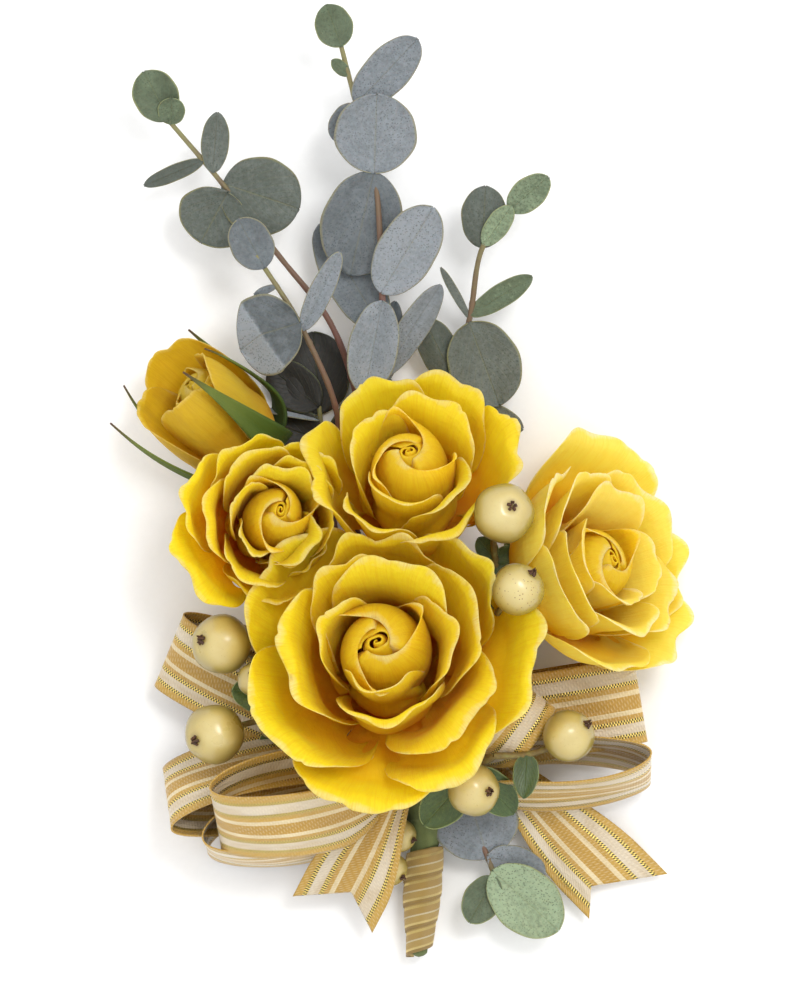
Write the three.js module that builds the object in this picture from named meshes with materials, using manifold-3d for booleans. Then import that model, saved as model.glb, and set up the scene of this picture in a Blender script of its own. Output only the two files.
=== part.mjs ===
// A wired rose corsage lying on its back: four open roses and a bud, cream berries, eucalyptus sprigs
// and a striped ribbon bow, all taped to one bundle of stems with a ribbon-wound handle.
// Millimetres. +X is the onlooker's right, +Y runs up the sprigs, +Z faces the onlooker,
// and the back rests on z = 0.
import * as THREE from 'three'
import { ConvexGeometry } from 'three/addons/geometries/ConvexGeometry.js'
import { mergeGeometries, mergeVertices } from 'three/addons/utils/BufferGeometryUtils.js'
import Module from 'manifold-3d'

const wasm = await Module()
wasm.setup()

// Driving dimensions
const photoScale = 0.18 // millimetres to one pixel of the reference picture
const corsageDepth = 50
const clearance = 0.3
const seatClearance = 0.8
const petalThickness = 0.6
const petalGap = 0.5
const leafThickness = 0.5
const sepalThickness = 0.7
const ribbonWidth = 15.9
const ribbonThickness = 0.5
const pinchWidth = 5
const pinchOpening = 1.6
const frontRoseDiameter = 52
const frontRoseHeight = 26
const topRoseDiameter = 39
const topRoseHeight = 23
const leftRoseDiameter = 33
const leftRoseHeight = 18
const rightRoseDiameter = 43
const rightRoseHeight = 17
const budDiameter = 21
const budHeight = 22
const heartCoreRadius = 0.6
const calyxLength = 6
const roseStemRadius = 1.3
const berryStalkRadius = 0.6
const berryTipLength = 1
const sprigStemRadius = 0.75
const bundleHeadRadius = 5.6
const bundleNeckRadius = 2.7
const bundleTipRadius = 1.5
const bundleBackHeight = 4.4
const wrapStripWidth = 3.6
const wrapStripThickness = 0.6
const wrapPitch = 4.5
const wireRadius = 0.5

// Places are read on the reference picture, whose pixel below lies on the part's own Y axis.
const centrePixel = [401, 484]
const degree = Math.PI / 180

function place(pixel, heightShare) {
  const right = (pixel[0] - centrePixel[0]) * photoScale
  const up = (centrePixel[1] - pixel[1]) * photoScale
  return new THREE.Vector3(right, up, heightShare * corsageDepth)
}

function smooth(value) {
  const share = THREE.MathUtils.clamp(value, 0, 1)
  return share * share * (3 - 2 * share)
}

function bezier(share, a, b, c, d) {
  const rest = 1 - share
  return rest ** 3 * a + 3 * rest ** 2 * share * b + 3 * rest * share ** 2 * c + share ** 3 * d
}

// Solids, with their faces out whichever way a profile runs

const weldTolerance = 1e-3

function solidFrom(geometry) {
  const bare = geometry.clone()
  bare.deleteAttribute('normal')
  bare.deleteAttribute('uv')
  const merged = mergeVertices(bare, weldTolerance)
  const triVerts = Uint32Array.from(merged.index.array)
  const vertProperties = Float32Array.from(merged.attributes.position.array)
  const solid = new wasm.Manifold(new wasm.Mesh({ numProp: 3, vertProperties, triVerts }))
  if (solid.volume() > 0) return solid
  return new wasm.Manifold(new wasm.Mesh({ numProp: 3, vertProperties, triVerts: triVerts.reverse() }))
}

function geometryFrom(solid) {
  const mesh = solid.getMesh()
  const geometry = new THREE.BufferGeometry()
  geometry.setAttribute('position', new THREE.BufferAttribute(Float32Array.from(mesh.vertProperties), 3))
  geometry.setIndex(new THREE.BufferAttribute(Uint32Array.from(mesh.triVerts), 1))
  geometry.computeVertexNormals()
  return geometry
}

function joined(solids) {
  return solids.reduce((whole, solid) => whole.add(solid))
}

function largestBody(solid) {
  return solid.decompose().reduce((best, body) => (body.volume() > best.volume() ? body : best))
}

function boxesMeet(a, b) {
  return [0, 1, 2].every((axis) => a.min[axis] <= b.max[axis] && b.min[axis] <= a.max[axis])
}

// A thin curved sheet: pointAt(u, v) with u from -1 to 1 across and v from 0 to 1 along.
// grow thickens it and pushes its edges out, for the room that its neighbours leave it.
// Its first rows have no side walls where a neighbour in the same ring carries on from them.
function sheetGeometry(pointAt, columns, rowShares, thickness, grow, openRows) {
  const positions = []
  const index = []
  const step = 1e-3
  const rows = rowShares.length - 1
  for (const side of [1, -1]) {
    for (let row = 0; row <= rows; row += 1) {
      for (let column = 0; column <= columns; column += 1) {
        const u = (2 * column) / columns - 1
        const v = rowShares[row]
        const point = pointAt(u, v)
        const joinedEdge = row <= openRows && openRows > 0
        const across = pointAt(u + step, v).sub(pointAt(u - step, v)).normalize()
        const ahead = joinedEdge && row > 0 ? v : Math.min(v + step, 1)
        const along = pointAt(u, ahead).sub(pointAt(u, Math.max(v - step, 0))).normalize()
        const normal = across.clone().cross(along).normalize()
        const outAcross = joinedEdge ? 0 : column === 0 ? -grow : column === columns ? grow : 0
        const outAlong = row === 0 ? -grow : row === rows ? grow : 0
        point.addScaledVector(across, outAcross).addScaledVector(along, outAlong)
        point.addScaledVector(normal, side * (thickness / 2 + grow))
        positions.push(point.x, point.y, point.z)
      }
    }
  }
  const lower = (rows + 1) * (columns + 1)
  const quad = (a, b, c, d) => index.push(a, b, c, a, c, d)
  const at = (row, column) => row * (columns + 1) + column
  for (let row = 0; row < rows; row += 1) {
    for (let column = 0; column < columns; column += 1) {
      const corners = [at(row, column), at(row, column + 1), at(row + 1, column + 1), at(row + 1, column)]
      quad(...corners)
      quad(...corners.map((corner) => corner + lower).reverse())
    }
  }
  const wall = (a, b) => quad(b, a, a + lower, b + lower)
  for (let column = 0; column < columns; column += 1) {
    wall(at(0, column), at(0, column + 1))
    wall(at(rows, column + 1), at(rows, column))
  }
  for (let row = openRows; row < rows; row += 1) {
    wall(at(row, columns), at(row + 1, columns))
    wall(at(row + 1, 0), at(row, 0))
  }
  const geometry = new THREE.BufferGeometry()
  geometry.setAttribute('position', new THREE.BufferAttribute(new Float32Array(positions), 3))
  geometry.setIndex(index)
  return geometry
}

function evenShares(rows) {
  return Array.from({ length: rows + 1 }, (_, row) => row / rows)
}

function sheetSolid(pointAt, columns, rows, thickness, grow) {
  return solidFrom(sheetGeometry(pointAt, columns, evenShares(rows), thickness, grow, 0))
}

// A round stem along a smooth curve.
function stemSolid(curve, radius, steps, sides) {
  const section = new THREE.Shape()
  for (let side = 0; side < sides; side += 1) {
    const angle = (side / sides) * 2 * Math.PI
    const corner = [radius * Math.cos(angle), radius * Math.sin(angle)]
    if (side === 0) section.moveTo(...corner)
    else section.lineTo(...corner)
  }
  section.closePath()
  return solidFrom(new THREE.ExtrudeGeometry(section, { steps, bevelEnabled: false, extrudePath: curve }))
}

function smoothCurve(points) {
  return new THREE.CatmullRomCurve3(points, false, 'centripetal')
}

// Turns a shape made along +Z to stand on a point, facing along an axis, with its own X to the right.
function standing(point, axis) {
  const right = new THREE.Vector3(1, 0, 0).addScaledVector(axis, -axis.x).normalize()
  const up = axis.clone().cross(right)
  return new THREE.Matrix4().makeBasis(right, up, axis).setPosition(point)
}

function leaningAxis(leanDegrees, towardsDegrees) {
  const lean = leanDegrees * degree
  const towards = towardsDegrees * degree
  const out = Math.sin(lean)
  return new THREE.Vector3(out * Math.cos(towards), out * Math.sin(towards), Math.cos(lean))
}

// Pieces go on in order: each is cut back by the room of those that were there before it.
const corsage = new THREE.Group()
const rooms = []

function keepRoom(room) {
  rooms.push({ box: room.boundingBox(), room })
}

function addPiece(name, look, make) {
  let body = make(0)
  const box = body.boundingBox()
  for (const taken of rooms) {
    if (boxesMeet(box, taken.box)) body = body.subtract(taken.room)
  }
  body = largestBody(body)
  const mesh = new THREE.Mesh(geometryFrom(body), look)
  mesh.name = name
  corsage.add(mesh)
  keepRoom(make(clearance).add(body))
}

function finish(color, roughness) {
  return new THREE.MeshStandardMaterial({ color, roughness, metalness: 0 })
}

const petalYellow = finish(0xe8c01a, 0.55)
const petalPale = finish(0xf0d648, 0.55)
const petalDeep = finish(0xe0a01c, 0.6)
const roseGreen = finish(0x4f6b2c, 0.6)
const berryCream = finish(0xddd9a0, 0.3)
const berryLeafGreen = finish(0x4a7030, 0.5)
const eucalyptusGrey = finish(0x8a9c9a, 0.7)
const eucalyptusGreen = finish(0x7f9470, 0.7)
const ribbonGold = finish(0xc9a24b, 0.45)
const tapeGreen = finish(0x5d6b3a, 0.8)
const wireMetal = new THREE.MeshStandardMaterial({ color: 0x9a9a94, roughness: 0.4, metalness: 1 })

// The bundle: stems taped into a handle, with a head that lies flat on its back.
const bundlePixels = [[424, 722], [421, 775], [425, 850], [422, 905], [419, 962]]
const bundleRadii = [bundleHeadRadius, bundleHeadRadius, bundleNeckRadius, bundleNeckRadius, bundleTipRadius]
const bundlePlaces = bundlePixels.map((pixel) => place(pixel, 0).setZ(bundleBackHeight))
const bundleTurns = 10
const handleCurve = smoothCurve(bundlePlaces.slice(2))

function bundleSolid(grow) {
  const profile = [new THREE.Vector2(0, -grow)]
  let length = 0
  bundlePlaces.forEach((point, index) => {
    if (index > 0) length += point.distanceTo(bundlePlaces[index - 1])
    profile.push(new THREE.Vector2(bundleRadii[index] + grow, length + (index === 0 ? -grow : 0)))
  })
  profile.push(new THREE.Vector2(bundleTipRadius + grow, length + grow))
  profile.push(new THREE.Vector2(0, length + grow))
  const geometry = new THREE.LatheGeometry(profile, bundleTurns)
  const path = smoothCurve(bundlePlaces)
  const position = geometry.attributes.position
  for (let index = 0; index < position.count; index += 1) {
    const run = position.getY(index)
    const share = THREE.MathUtils.clamp(run / length, 0, 1)
    const centre = path.getPointAt(share)
    const beyond = run - share * length
    const low = -bundleBackHeight - grow
    const side = position.getX(index)
    const height = Math.max(position.getZ(index), low)
    position.setXYZ(index, centre.x + side, centre.y - beyond, centre.z + height)
  }
  return solidFrom(geometry)
}

addPiece('stem_bundle', tapeGreen, bundleSolid)

// The handle's winding: one strip of ribbon, wound as a helix from the neck to the tip.
const wrapStepsPerTurn = 11
const handleLength = handleCurve.getLength()
const wrapTurns = (handleLength - wrapStripWidth) / wrapPitch

function wrapPoint(u, v) {
  const run = wrapStripWidth / 2 + v * (handleLength - wrapStripWidth) + (u * wrapStripWidth) / 2
  const share = THREE.MathUtils.clamp(run / handleLength, 0, 1)
  const centre = handleCurve.getPointAt(share)
  const narrowing = THREE.MathUtils.lerp(bundleNeckRadius, bundleTipRadius, smooth(share * 1.6 - 0.6))
  const radius = narrowing + clearance + wrapStripThickness
  const angle = v * wrapTurns * 2 * Math.PI
  const out = new THREE.Vector3(Math.cos(angle), 0, Math.sin(angle)).multiplyScalar(radius)
  return centre.add(out)
}

function leastWrapGap() {
  let least = Infinity
  const count = Math.round(wrapTurns * wrapStepsPerTurn)
  for (let first = 0; first <= count; first += 1) {
    for (let second = first + Math.ceil(wrapStepsPerTurn / 2); second <= count; second += 1) {
      const gap = wrapPoint(1, first / count).distanceTo(wrapPoint(-1, second / count))
      least = Math.min(least, gap)
    }
  }
  return least
}

console.log(`least gap between the turns of the winding: ${leastWrapGap().toFixed(2)} mm`)
addPiece('stem_wrap', ribbonGold, (grow) =>
  sheetSolid(wrapPoint, 1, Math.round(wrapTurns * wrapStepsPerTurn), wrapStripThickness, grow))

// The wire that gathers the bow is a staple pressed over the bundle, open at its flat back.
const wirePlaceShare = 0.3
const wireEndDegrees = 42
const wireSteps = 12

function wireSolid(grow) {
  const centre = bundlePlaces[1].clone().lerp(bundlePlaces[2], wirePlaceShare)
  const bundleRadius = THREE.MathUtils.lerp(bundleHeadRadius, bundleNeckRadius, wirePlaceShare)
  const radius = bundleRadius + clearance + wireRadius
  const points = []
  for (let step = 0; step <= wireSteps; step += 1) {
    const angle = THREE.MathUtils.lerp(-wireEndDegrees, 180 + wireEndDegrees, step / wireSteps) * degree
    points.push(new THREE.Vector3(Math.cos(angle) * radius, 0, Math.sin(angle) * radius).add(centre))
  }
  return stemSolid(smoothCurve(points), wireRadius + grow, wireSteps, 5)
}

// Roses. The petals of a ring stand side by side on the seat; in profile a petal is a curve from base to rim.
// turn: the way it faces in degrees; reachShare: rim radius over the rose's radius;
// riseShare: rim height over the rose's height; spread: half its arc in degrees.
function petal(turn, reachShare, riseShare, spread) {
  return { turn, reachShare, riseShare, spread }
}

// Neighbours in a ring overlap: the one that reaches further lies outside.
function inOrder(petals) {
  const sorted = [...petals].sort((first, second) => first.turn - second.turn)
  const count = sorted.length
  return sorted.map((item, index) => {
    const before = sorted[(index + count - 1) % count]
    const after = sorted[(index + 1) % count]
    const turnBefore = before.turn - (index === 0 ? 360 : 0)
    const turnAfter = after.turn + (index === count - 1 ? 360 : 0)
    const outsideBefore = before.reachShare >= item.reachShare ? -1 : 1
    const outsideAfter = item.reachShare >= after.reachShare ? 1 : -1
    const start = (turnBefore + item.turn) / 2
    const end = (item.turn + turnAfter) / 2
    return { ...item, start, end, outsideBefore, outsideAfter }
  })
}

// The seat slopes down from the heart, so the outer rings stand lower and clear of the inner ones.
const seatSlope = 0.6

function ringBaseRadius(order) {
  return heartBaseRadius + order * (petalThickness + petalGap)
}

function ringBaseHeight(order) {
  return -seatSlope * order * (petalThickness + petalGap)
}

// Up to the collar the petals are joined. Then their edges part inwards or outwards, and only above that
// do they widen over each other.
const collarShare = 0.1
const partingShare = 0.2
const cupRowShares = [0, collarShare, partingShare, 0.56, 1]
const openRowShares = [0, collarShare, partingShare, 0.46, 0.73, 1]
const layerShare = 0.75

function petalPoint(rose, ring, item, u, v) {
  const parting = smooth((v - collarShare) / (partingShare - collarShare))
  const widening = smooth((v - partingShare) / 0.26)
  const share = v * (1 - ring.roundShare * Math.abs(u) ** 2.6 * widening)
  const radius = rose.diameter / 2
  const reach = radius * THREE.MathUtils.lerp(1, item.reachShare, widening)
  const rise = rose.height * THREE.MathUtils.lerp(1, item.riseShare, widening)
  const angleAtBase = THREE.MathUtils.lerp(item.start, item.end, (u + 1) / 2)
  const angle = THREE.MathUtils.lerp(angleAtBase, item.turn + u * item.spread, widening) * degree
  const outside = u < 0 ? item.outsideBefore : item.outsideAfter
  const layer = outside * smooth(Math.abs(u) * 1.3) * parting * (petalThickness + petalGap) * layerShare
  const wave = ring.ruffleShare * widening * share ** 3 * Math.sin(3 * Math.PI * u + item.turn)
  const girth = radius * THREE.MathUtils.lerp(1, (1 + item.reachShare) / 2, widening)
  const foot = ringBaseRadius(ring.order)
  const out = bezier(share, foot, ring.bellyShares[0] * girth, ring.lipShares[0] * girth, reach)
  const low = ringBaseHeight(ring.order)
  const up = bezier(share, low, ring.bellyShares[1] * rose.height, ring.lipShares[1] * rise, rise)
  const far = out + layer + wave * radius
  return new THREE.Vector3(far * Math.cos(angle), far * Math.sin(angle), up + wave * radius)
}

// The petals of a ring are one piece below the collar, because their claws sit edge to edge.
// The room that they need is the room of each petal by itself, all joined.
function ringSolid(rose, ring, grow) {
  const openRows = grow > 0 ? 0 : 1
  const sheets = inOrder(ring.petals).map((item) => {
    const pointAt = (u, v) => petalPoint(rose, ring, item, u, v)
    return sheetGeometry(pointAt, ring.columns, ring.rowShares, petalThickness, grow, openRows)
  })
  return grow > 0 ? joined(sheets.map(solidFrom)) : solidFrom(mergeGeometries(sheets))
}

// The heart is one strip rolled up tight, widest at its belly and drawn in to the tip.
const heartTurns = 2.25
const heartStepsPerTurn = 6
const heartRowShares = [0, 0.34, 0.72, 1]
const heartBaseRadius = heartCoreRadius + heartTurns * (petalThickness + petalGap)

function heartPoint(rose, u, v) {
  const inwards = (u + 1) / 2
  const radius = rose.diameter / 2
  const heart = rose.heart
  const angle = (heart.turn - inwards * heartTurns * 360) * degree
  const base = THREE.MathUtils.lerp(heartBaseRadius, heartCoreRadius, inwards)
  const scale = THREE.MathUtils.lerp(1, 0.16, inwards)
  const belly = radius * heart.bellyShare * scale
  const tip = radius * heart.tipShare * scale
  const rise = rose.height * (THREE.MathUtils.lerp(heart.lowShare, 1, inwards) + 0.03 * Math.sin(angle * 1.5))
  const out = bezier(v, base, Math.max(belly, base), Math.max(belly * 0.9, tip), tip)
  return new THREE.Vector3(out * Math.cos(angle), out * Math.sin(angle), rise * bezier(v, 0, 0.05, 0.75, 1))
}

function heartSolid(rose, grow) {
  const columns = Math.round(heartTurns * heartStepsPerTurn)
  const pointAt = (u, v) => heartPoint(rose, u, v)
  return solidFrom(sheetGeometry(pointAt, columns, heartRowShares, petalThickness, grow, 0))
}

function roseMatrix(rose) {
  return standing(place(rose.pixel, rose.heightShare), leaningAxis(rose.lean, rose.towards))
}

function placed(solid, matrix) {
  return solid.transform(matrix.elements)
}

const calyxSides = 7

function lastOrder(rose) {
  return Math.max(...Object.values(rose.rings).map((ring) => ring.order))
}

function seatRadius(rose) {
  return ringBaseRadius(lastOrder(rose)) + petalThickness
}

function seatEdgeHeight(rose) {
  return ringBaseHeight(lastOrder(rose)) - petalThickness / 2 - seatClearance
}

// The green cup under the petals: its sloping top is the seat, and its neck meets the stem.
function calyxSolid(rose, grow) {
  const seat = seatRadius(rose)
  const top = -petalThickness / 2 - seatClearance
  const edge = seatEdgeHeight(rose)
  const neck = top - calyxLength
  const profile = [
    new THREE.Vector2(0, neck - grow),
    new THREE.Vector2(roseStemRadius * 1.2 + grow, neck - grow),
    new THREE.Vector2(seat * 0.62 + grow, top - calyxLength * 0.72),
    new THREE.Vector2(seat + grow, edge - sepalThickness),
    new THREE.Vector2(seat + grow, edge + grow),
    new THREE.Vector2(heartBaseRadius, top + grow),
    new THREE.Vector2(0, top + grow),
  ]
  const cup = new THREE.LatheGeometry(profile, calyxSides)
  cup.rotateX(90 * degree)
  const parts = [solidFrom(cup)]
  for (const sepal of rose.sepals) {
    parts.push(sheetSolid((u, v) => sepalPoint(rose, sepal, u, v), 1, rose.sepalRows, sepalThickness, grow))
  }
  return joined(parts)
}

// A sepal leaves the rim of the cup; reachShare and riseShare place its tip as a petal's do.
function sepal(turn, reachShare, riseShare, widthShare) {
  return { turn, reachShare, riseShare, widthShare }
}

function sepalPoint(rose, leaf, u, v) {
  const radius = rose.diameter / 2
  const top = seatEdgeHeight(rose) - sepalThickness
  const start = seatRadius(rose)
  const belly = radius * rose.sepalBellyShare
  const rise = rose.height * leaf.riseShare
  const reach = radius * leaf.reachShare
  const out = bezier(v, start * 0.7, Math.max(belly, start * 1.2), Math.max(belly, reach), reach)
  const up = bezier(v, top, top, rise * 0.5, rise)
  const half = leaf.widthShare * radius * (1 - v) ** 0.8 * (0.55 + 0.9 * v) + sepalThickness / 2
  const angle = leaf.turn * degree
  const point = new THREE.Vector3(out, u * half, up)
  return point.applyAxisAngle(new THREE.Vector3(0, 0, 1), angle)
}

function stemEnd(rose) {
  const below = -petalThickness / 2 - seatClearance - clearance - calyxLength
  return new THREE.Vector3(0, 0, below).applyMatrix4(roseMatrix(rose))
}

// Each stem leaves the flower along its axis and bends down to its own port on the bundle's head.
function flowerStemSolid(rose, grow) {
  const matrix = roseMatrix(rose)
  const end = stemEnd(rose)
  const axis = new THREE.Vector3(0, 0, 1).transformDirection(matrix)
  const port = place(rose.portPixel, rose.portHeightShare)
  const run = port.clone().sub(end)
  const bend = end.clone().addScaledVector(axis, -calyxLength * rose.bendShare).addScaledVector(run, 0.12)
  const low = end.clone().addScaledVector(run, 0.5).setZ((port.z + bend.z) / 2)
  const curve = smoothCurve([end, bend, low, port])
  return stemSolid(curve, roseStemRadius + grow, 7, 6)
}

function cupRing(order, bellyOut, lipOut, petals) {
  const shape = { columns: order === 1 ? 3 : 4, rowShares: cupRowShares, roundShare: 0.3, ruffleShare: 0.008 }
  return { ...shape, order, petals, bellyShares: [bellyOut, 0.1], lipShares: [lipOut, 1.02] }
}

function openRing(order, bellyOut, lipOut, petals) {
  const shape = { columns: 4, rowShares: openRowShares, roundShare: 0.34, ruffleShare: 0.014 }
  return { ...shape, order, petals, bellyShares: [bellyOut, 0.12], lipShares: [lipOut, 1.12] }
}

const roses = [
  {
    name: 'front_rose', pixel: [391, 668], heightShare: 0.34, lean: 13, towards: 113,
    diameter: frontRoseDiameter, height: frontRoseHeight,
    portPixel: [416, 742], portHeightShare: 0.19, bendShare: 0.2,
    sepalRows: 2, sepalBellyShare: 0.4,
    sepals: [20, 92, 164, 236, 308].map((turn) => sepal(turn, 0.5, -0.12, 0.1)),
    heart: { turn: 200, bellyShare: 0.38, tipShare: 0.16, lowShare: 0.86 },
    rings: {
      inner_petals: cupRing(1, 0.56, 0.5, [
        petal(75, 0.56, 1, 55), petal(158, 0.4, 0.96, 46),
        petal(268, 0.34, 0.95, 55), petal(8, 0.52, 0.92, 45),
      ]),
      middle_petals: cupRing(2, 0.74, 0.64, [
        petal(185, 0.66, 0.93, 46), petal(118, 0.61, 0.92, 36), petal(18, 0.72, 0.86, 42),
        petal(318, 0.82, 0.78, 38), petal(278, 0.54, 0.88, 46),
      ]),
      outer_petals: openRing(3, 0.98, 0.82, [
        petal(142, 0.99, 0.7, 36), petal(216, 0.97, 0.76, 40), petal(262, 1.12, 0.6, 34),
        petal(302, 1.06, 0.66, 30), petal(358, 1.08, 0.64, 38), petal(42, 0.9, 0.76, 30),
        petal(93, 0.72, 0.8, 38),
      ]),
    },
  },
  {
    name: 'top_rose', pixel: [412, 506], heightShare: 0.27, lean: 27, towards: 90,
    diameter: topRoseDiameter, height: topRoseHeight,
    portPixel: [432, 742], portHeightShare: 0.14, bendShare: 0.35,
    sepalRows: 2, sepalBellyShare: 0.45,
    sepals: [10, 82, 154, 226, 298].map((turn) => sepal(turn, 0.52, -0.1, 0.12)),
    heart: { turn: 150, bellyShare: 0.42, tipShare: 0.2, lowShare: 0.88 },
    rings: {
      inner_petals: cupRing(1, 0.62, 0.54, [
        petal(250, 0.5, 0.86, 58), petal(320, 0.56, 0.82, 50),
        petal(60, 0.6, 0.9, 55), petal(150, 0.56, 0.88, 50),
      ]),
      outer_petals: openRing(2, 0.9, 0.76, [
        petal(186, 0.95, 0.84, 40), petal(115, 0.9, 0.74, 38), petal(62, 0.93, 0.74, 36),
        petal(12, 0.98, 0.8, 34), petal(296, 0.8, 0.74, 40), petal(238, 0.78, 0.78, 38),
      ]),
    },
  },
  {
    name: 'right_rose', pixel: [558, 580], heightShare: 0.218, lean: 50, towards: 23,
    diameter: rightRoseDiameter, height: rightRoseHeight,
    portPixel: [446, 750], portHeightShare: 0.15, bendShare: 0.8,
    sepalRows: 2, sepalBellyShare: 0.5,
    sepals: [230, 300, 160, 20, 90].map((turn) => sepal(turn, 0.55, -0.14, 0.12)),
    heart: { turn: 90, bellyShare: 0.37, tipShare: 0.18, lowShare: 0.84 },
    rings: {
      inner_petals: cupRing(1, 0.54, 0.48, [
        petal(100, 0.56, 1, 50), petal(190, 0.5, 0.96, 46),
        petal(280, 0.46, 0.94, 46), petal(10, 0.5, 0.9, 48),
      ]),
      middle_petals: cupRing(2, 0.74, 0.66, [
        petal(60, 0.76, 0.95, 46), petal(140, 0.76, 1, 44), petal(215, 0.7, 0.96, 40),
        petal(290, 0.7, 0.9, 42), petal(345, 0.74, 0.84, 38),
      ]),
      outer_petals: openRing(3, 0.96, 0.86, [
        petal(90, 1.08, 0.84, 42), petal(160, 0.9, 0.92, 36), petal(220, 0.86, 0.86, 36),
        petal(280, 0.98, 0.7, 38), petal(20, 0.95, 0.72, 42), petal(330, 1.0, 0.7, 36),
      ]),
    },
  },
  {
    name: 'left_rose', pixel: [266, 526], heightShare: 0.33, lean: 9, towards: 35,
    diameter: leftRoseDiameter, height: leftRoseHeight,
    portPixel: [404, 740], portHeightShare: 0.1, bendShare: 0.3,
    sepalRows: 2, sepalBellyShare: 0.5,
    sepals: [0, 72, 144, 216, 288].map((turn) => sepal(turn, 0.6, -0.1, 0.13)),
    heart: { turn: 60, bellyShare: 0.38, tipShare: 0.22, lowShare: 0.88 },
    rings: {
      inner_petals: cupRing(1, 0.56, 0.5, [
        petal(80, 0.54, 0.98, 46), petal(150, 0.5, 0.94, 44),
        petal(225, 0.46, 0.9, 42), petal(320, 0.5, 0.92, 50),
      ]),
      middle_petals: cupRing(2, 0.76, 0.66, [
        petal(115, 0.76, 0.92, 38), petal(180, 0.78, 0.88, 36), petal(240, 0.74, 0.84, 36),
        petal(300, 0.52, 0.78, 38), petal(10, 0.6, 0.88, 42), petal(60, 0.7, 0.92, 36),
      ]),
      outer_petals: openRing(3, 0.98, 0.84, [
        petal(212, 1.12, 0.6, 36), petal(262, 0.86, 0.6, 34), petal(165, 1.02, 0.72, 36),
        petal(118, 0.86, 0.8, 36), petal(62, 0.82, 0.8, 36), petal(320, 0.6, 0.56, 36),
      ]),
    },
  },
  {
    name: 'rose_bud', pixel: [247, 445], heightShare: 0.147, lean: 54, towards: 140,
    diameter: budDiameter, height: budHeight,
    portPixel: [400, 756], portHeightShare: 0.08, bendShare: 0.2,
    sepalRows: 4, sepalBellyShare: 1.12,
    sepals: [
      sepal(60, 1.15, 0.96, 0.24), sepal(330, 1.2, 1.02, 0.26), sepal(265, 1.5, 0.92, 0.2),
      sepal(180, 1.1, 1.22, 0.16), sepal(120, 1.15, 1.1, 0.18),
    ],
    heart: { turn: 30, bellyShare: 0.74, tipShare: 0.34, lowShare: 0.86 },
    rings: {
      outer_petals: cupRing(1, 1.1, 0.9, [
        petal(20, 0.86, 0.9, 52), petal(100, 0.84, 0.94, 50),
        petal(190, 0.92, 0.92, 50), petal(285, 0.96, 0.84, 54),
      ]),
    },
  },
]

for (const rose of roses) {
  const matrix = roseMatrix(rose)
  addPiece(`${rose.name}_calyx`, roseGreen, (grow) => placed(calyxSolid(rose, grow), matrix))
}
for (const rose of roses) {
  addPiece(`${rose.name}_stem`, roseGreen, (grow) => flowerStemSolid(rose, grow))
}

function ringPoints(solid) {
  const mesh = solid.getMesh()
  const points = []
  for (let index = 0; index < mesh.vertProperties.length; index += 3) {
    points.push(new THREE.Vector3().fromArray(mesh.vertProperties, index))
  }
  return points
}

// What is inside a rose's cup belongs to that rose, so its hull is kept free of other flowers.
for (const rose of roses) {
  const matrix = roseMatrix(rose)
  addPiece(`${rose.name}_heart`, petalDeep, (grow) => placed(heartSolid(rose, grow), matrix))
  const core = ringPoints(placed(heartSolid(rose, clearance), matrix))
  for (const [part, ring] of Object.entries(rose.rings)) {
    const look = part === 'outer_petals' ? petalPale : petalYellow
    addPiece(`${rose.name}_${part}`, look, (grow) => placed(ringSolid(rose, ring, grow), matrix))
    if (part !== 'outer_petals') core.push(...ringPoints(placed(ringSolid(rose, ring, clearance), matrix)))
  }
  keepRoom(solidFrom(new ConvexGeometry(core)))
}

addPiece('bow_wire', wireMetal, wireSolid)

// Berries. The axis runs from the stalk to the dark tips of the calyx.
function berry(name, pixel, heightShare, diameter, towardsPixel, sprig) {
  return { name, pixel, heightShare, diameter, towardsPixel, sprig }
}

const largeBerry = 10.8
const middleBerry = 9.4
const smallBerry = 6.2
const berries = [
  berry('berry_upper_right', [503, 513], 0.66, largeBerry, [512, 505], 'upper'),
  berry('berry_speckled', [517, 588], 0.72, middleBerry, [536, 566], 'upper'),
  berry('berry_left_upper', [221, 644], 0.42, largeBerry + clearance, [199, 639], 'left'),
  berry('berry_left_lower', [214, 734], 0.42, largeBerry, [193, 741], 'left'),
  berry('berry_brown', [255, 679], 0.49, smallBerry, [252, 672], 'left'),
  berry('berry_half_hidden', [274, 724], 0.26, smallBerry, [262, 722], 'left'),
  berry('berry_right', [569, 735], 0.46, middleBerry + clearance, [589, 722], 'right'),
  berry('berry_right_low', [474, 790], 0.44, middleBerry, [491, 791], 'right'),
  berry('berry_behind_tail', [400, 838], 0.19, smallBerry, [424, 846], 'low'),
  berry('berry_pale_low', [391, 872], 0.18, smallBerry + clearance, [408, 884], 'low'),
]
const berryProfileShares = [[-1, 0], [-0.8, 0.62], [-0.1, 1], [0.6, 0.8], [0.94, 0.24]]
const berrySides = 8

function berryAxis(item) {
  const radius = item.diameter / 2
  const across = place(item.towardsPixel, 0).sub(place(item.pixel, 0)).divideScalar(radius)
  across.clampLength(0, 0.9)
  return across.setZ(Math.sqrt(1 - across.lengthSq()))
}

function berrySolid(item, grow) {
  const radius = item.diameter / 2
  const profile = berryProfileShares.map(([along, out]) =>
    new THREE.Vector2(out * (radius + grow), along * (radius + grow)))
  profile.push(new THREE.Vector2(0.08 * radius, radius + berryTipLength * 0.6 + grow))
  profile.push(new THREE.Vector2(0, radius + berryTipLength * 0.6 + grow))
  const body = new THREE.LatheGeometry(profile, berrySides)
  body.rotateX(90 * degree)
  return placed(solidFrom(body), standing(place(item.pixel, item.heightShare), berryAxis(item)))
}

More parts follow.
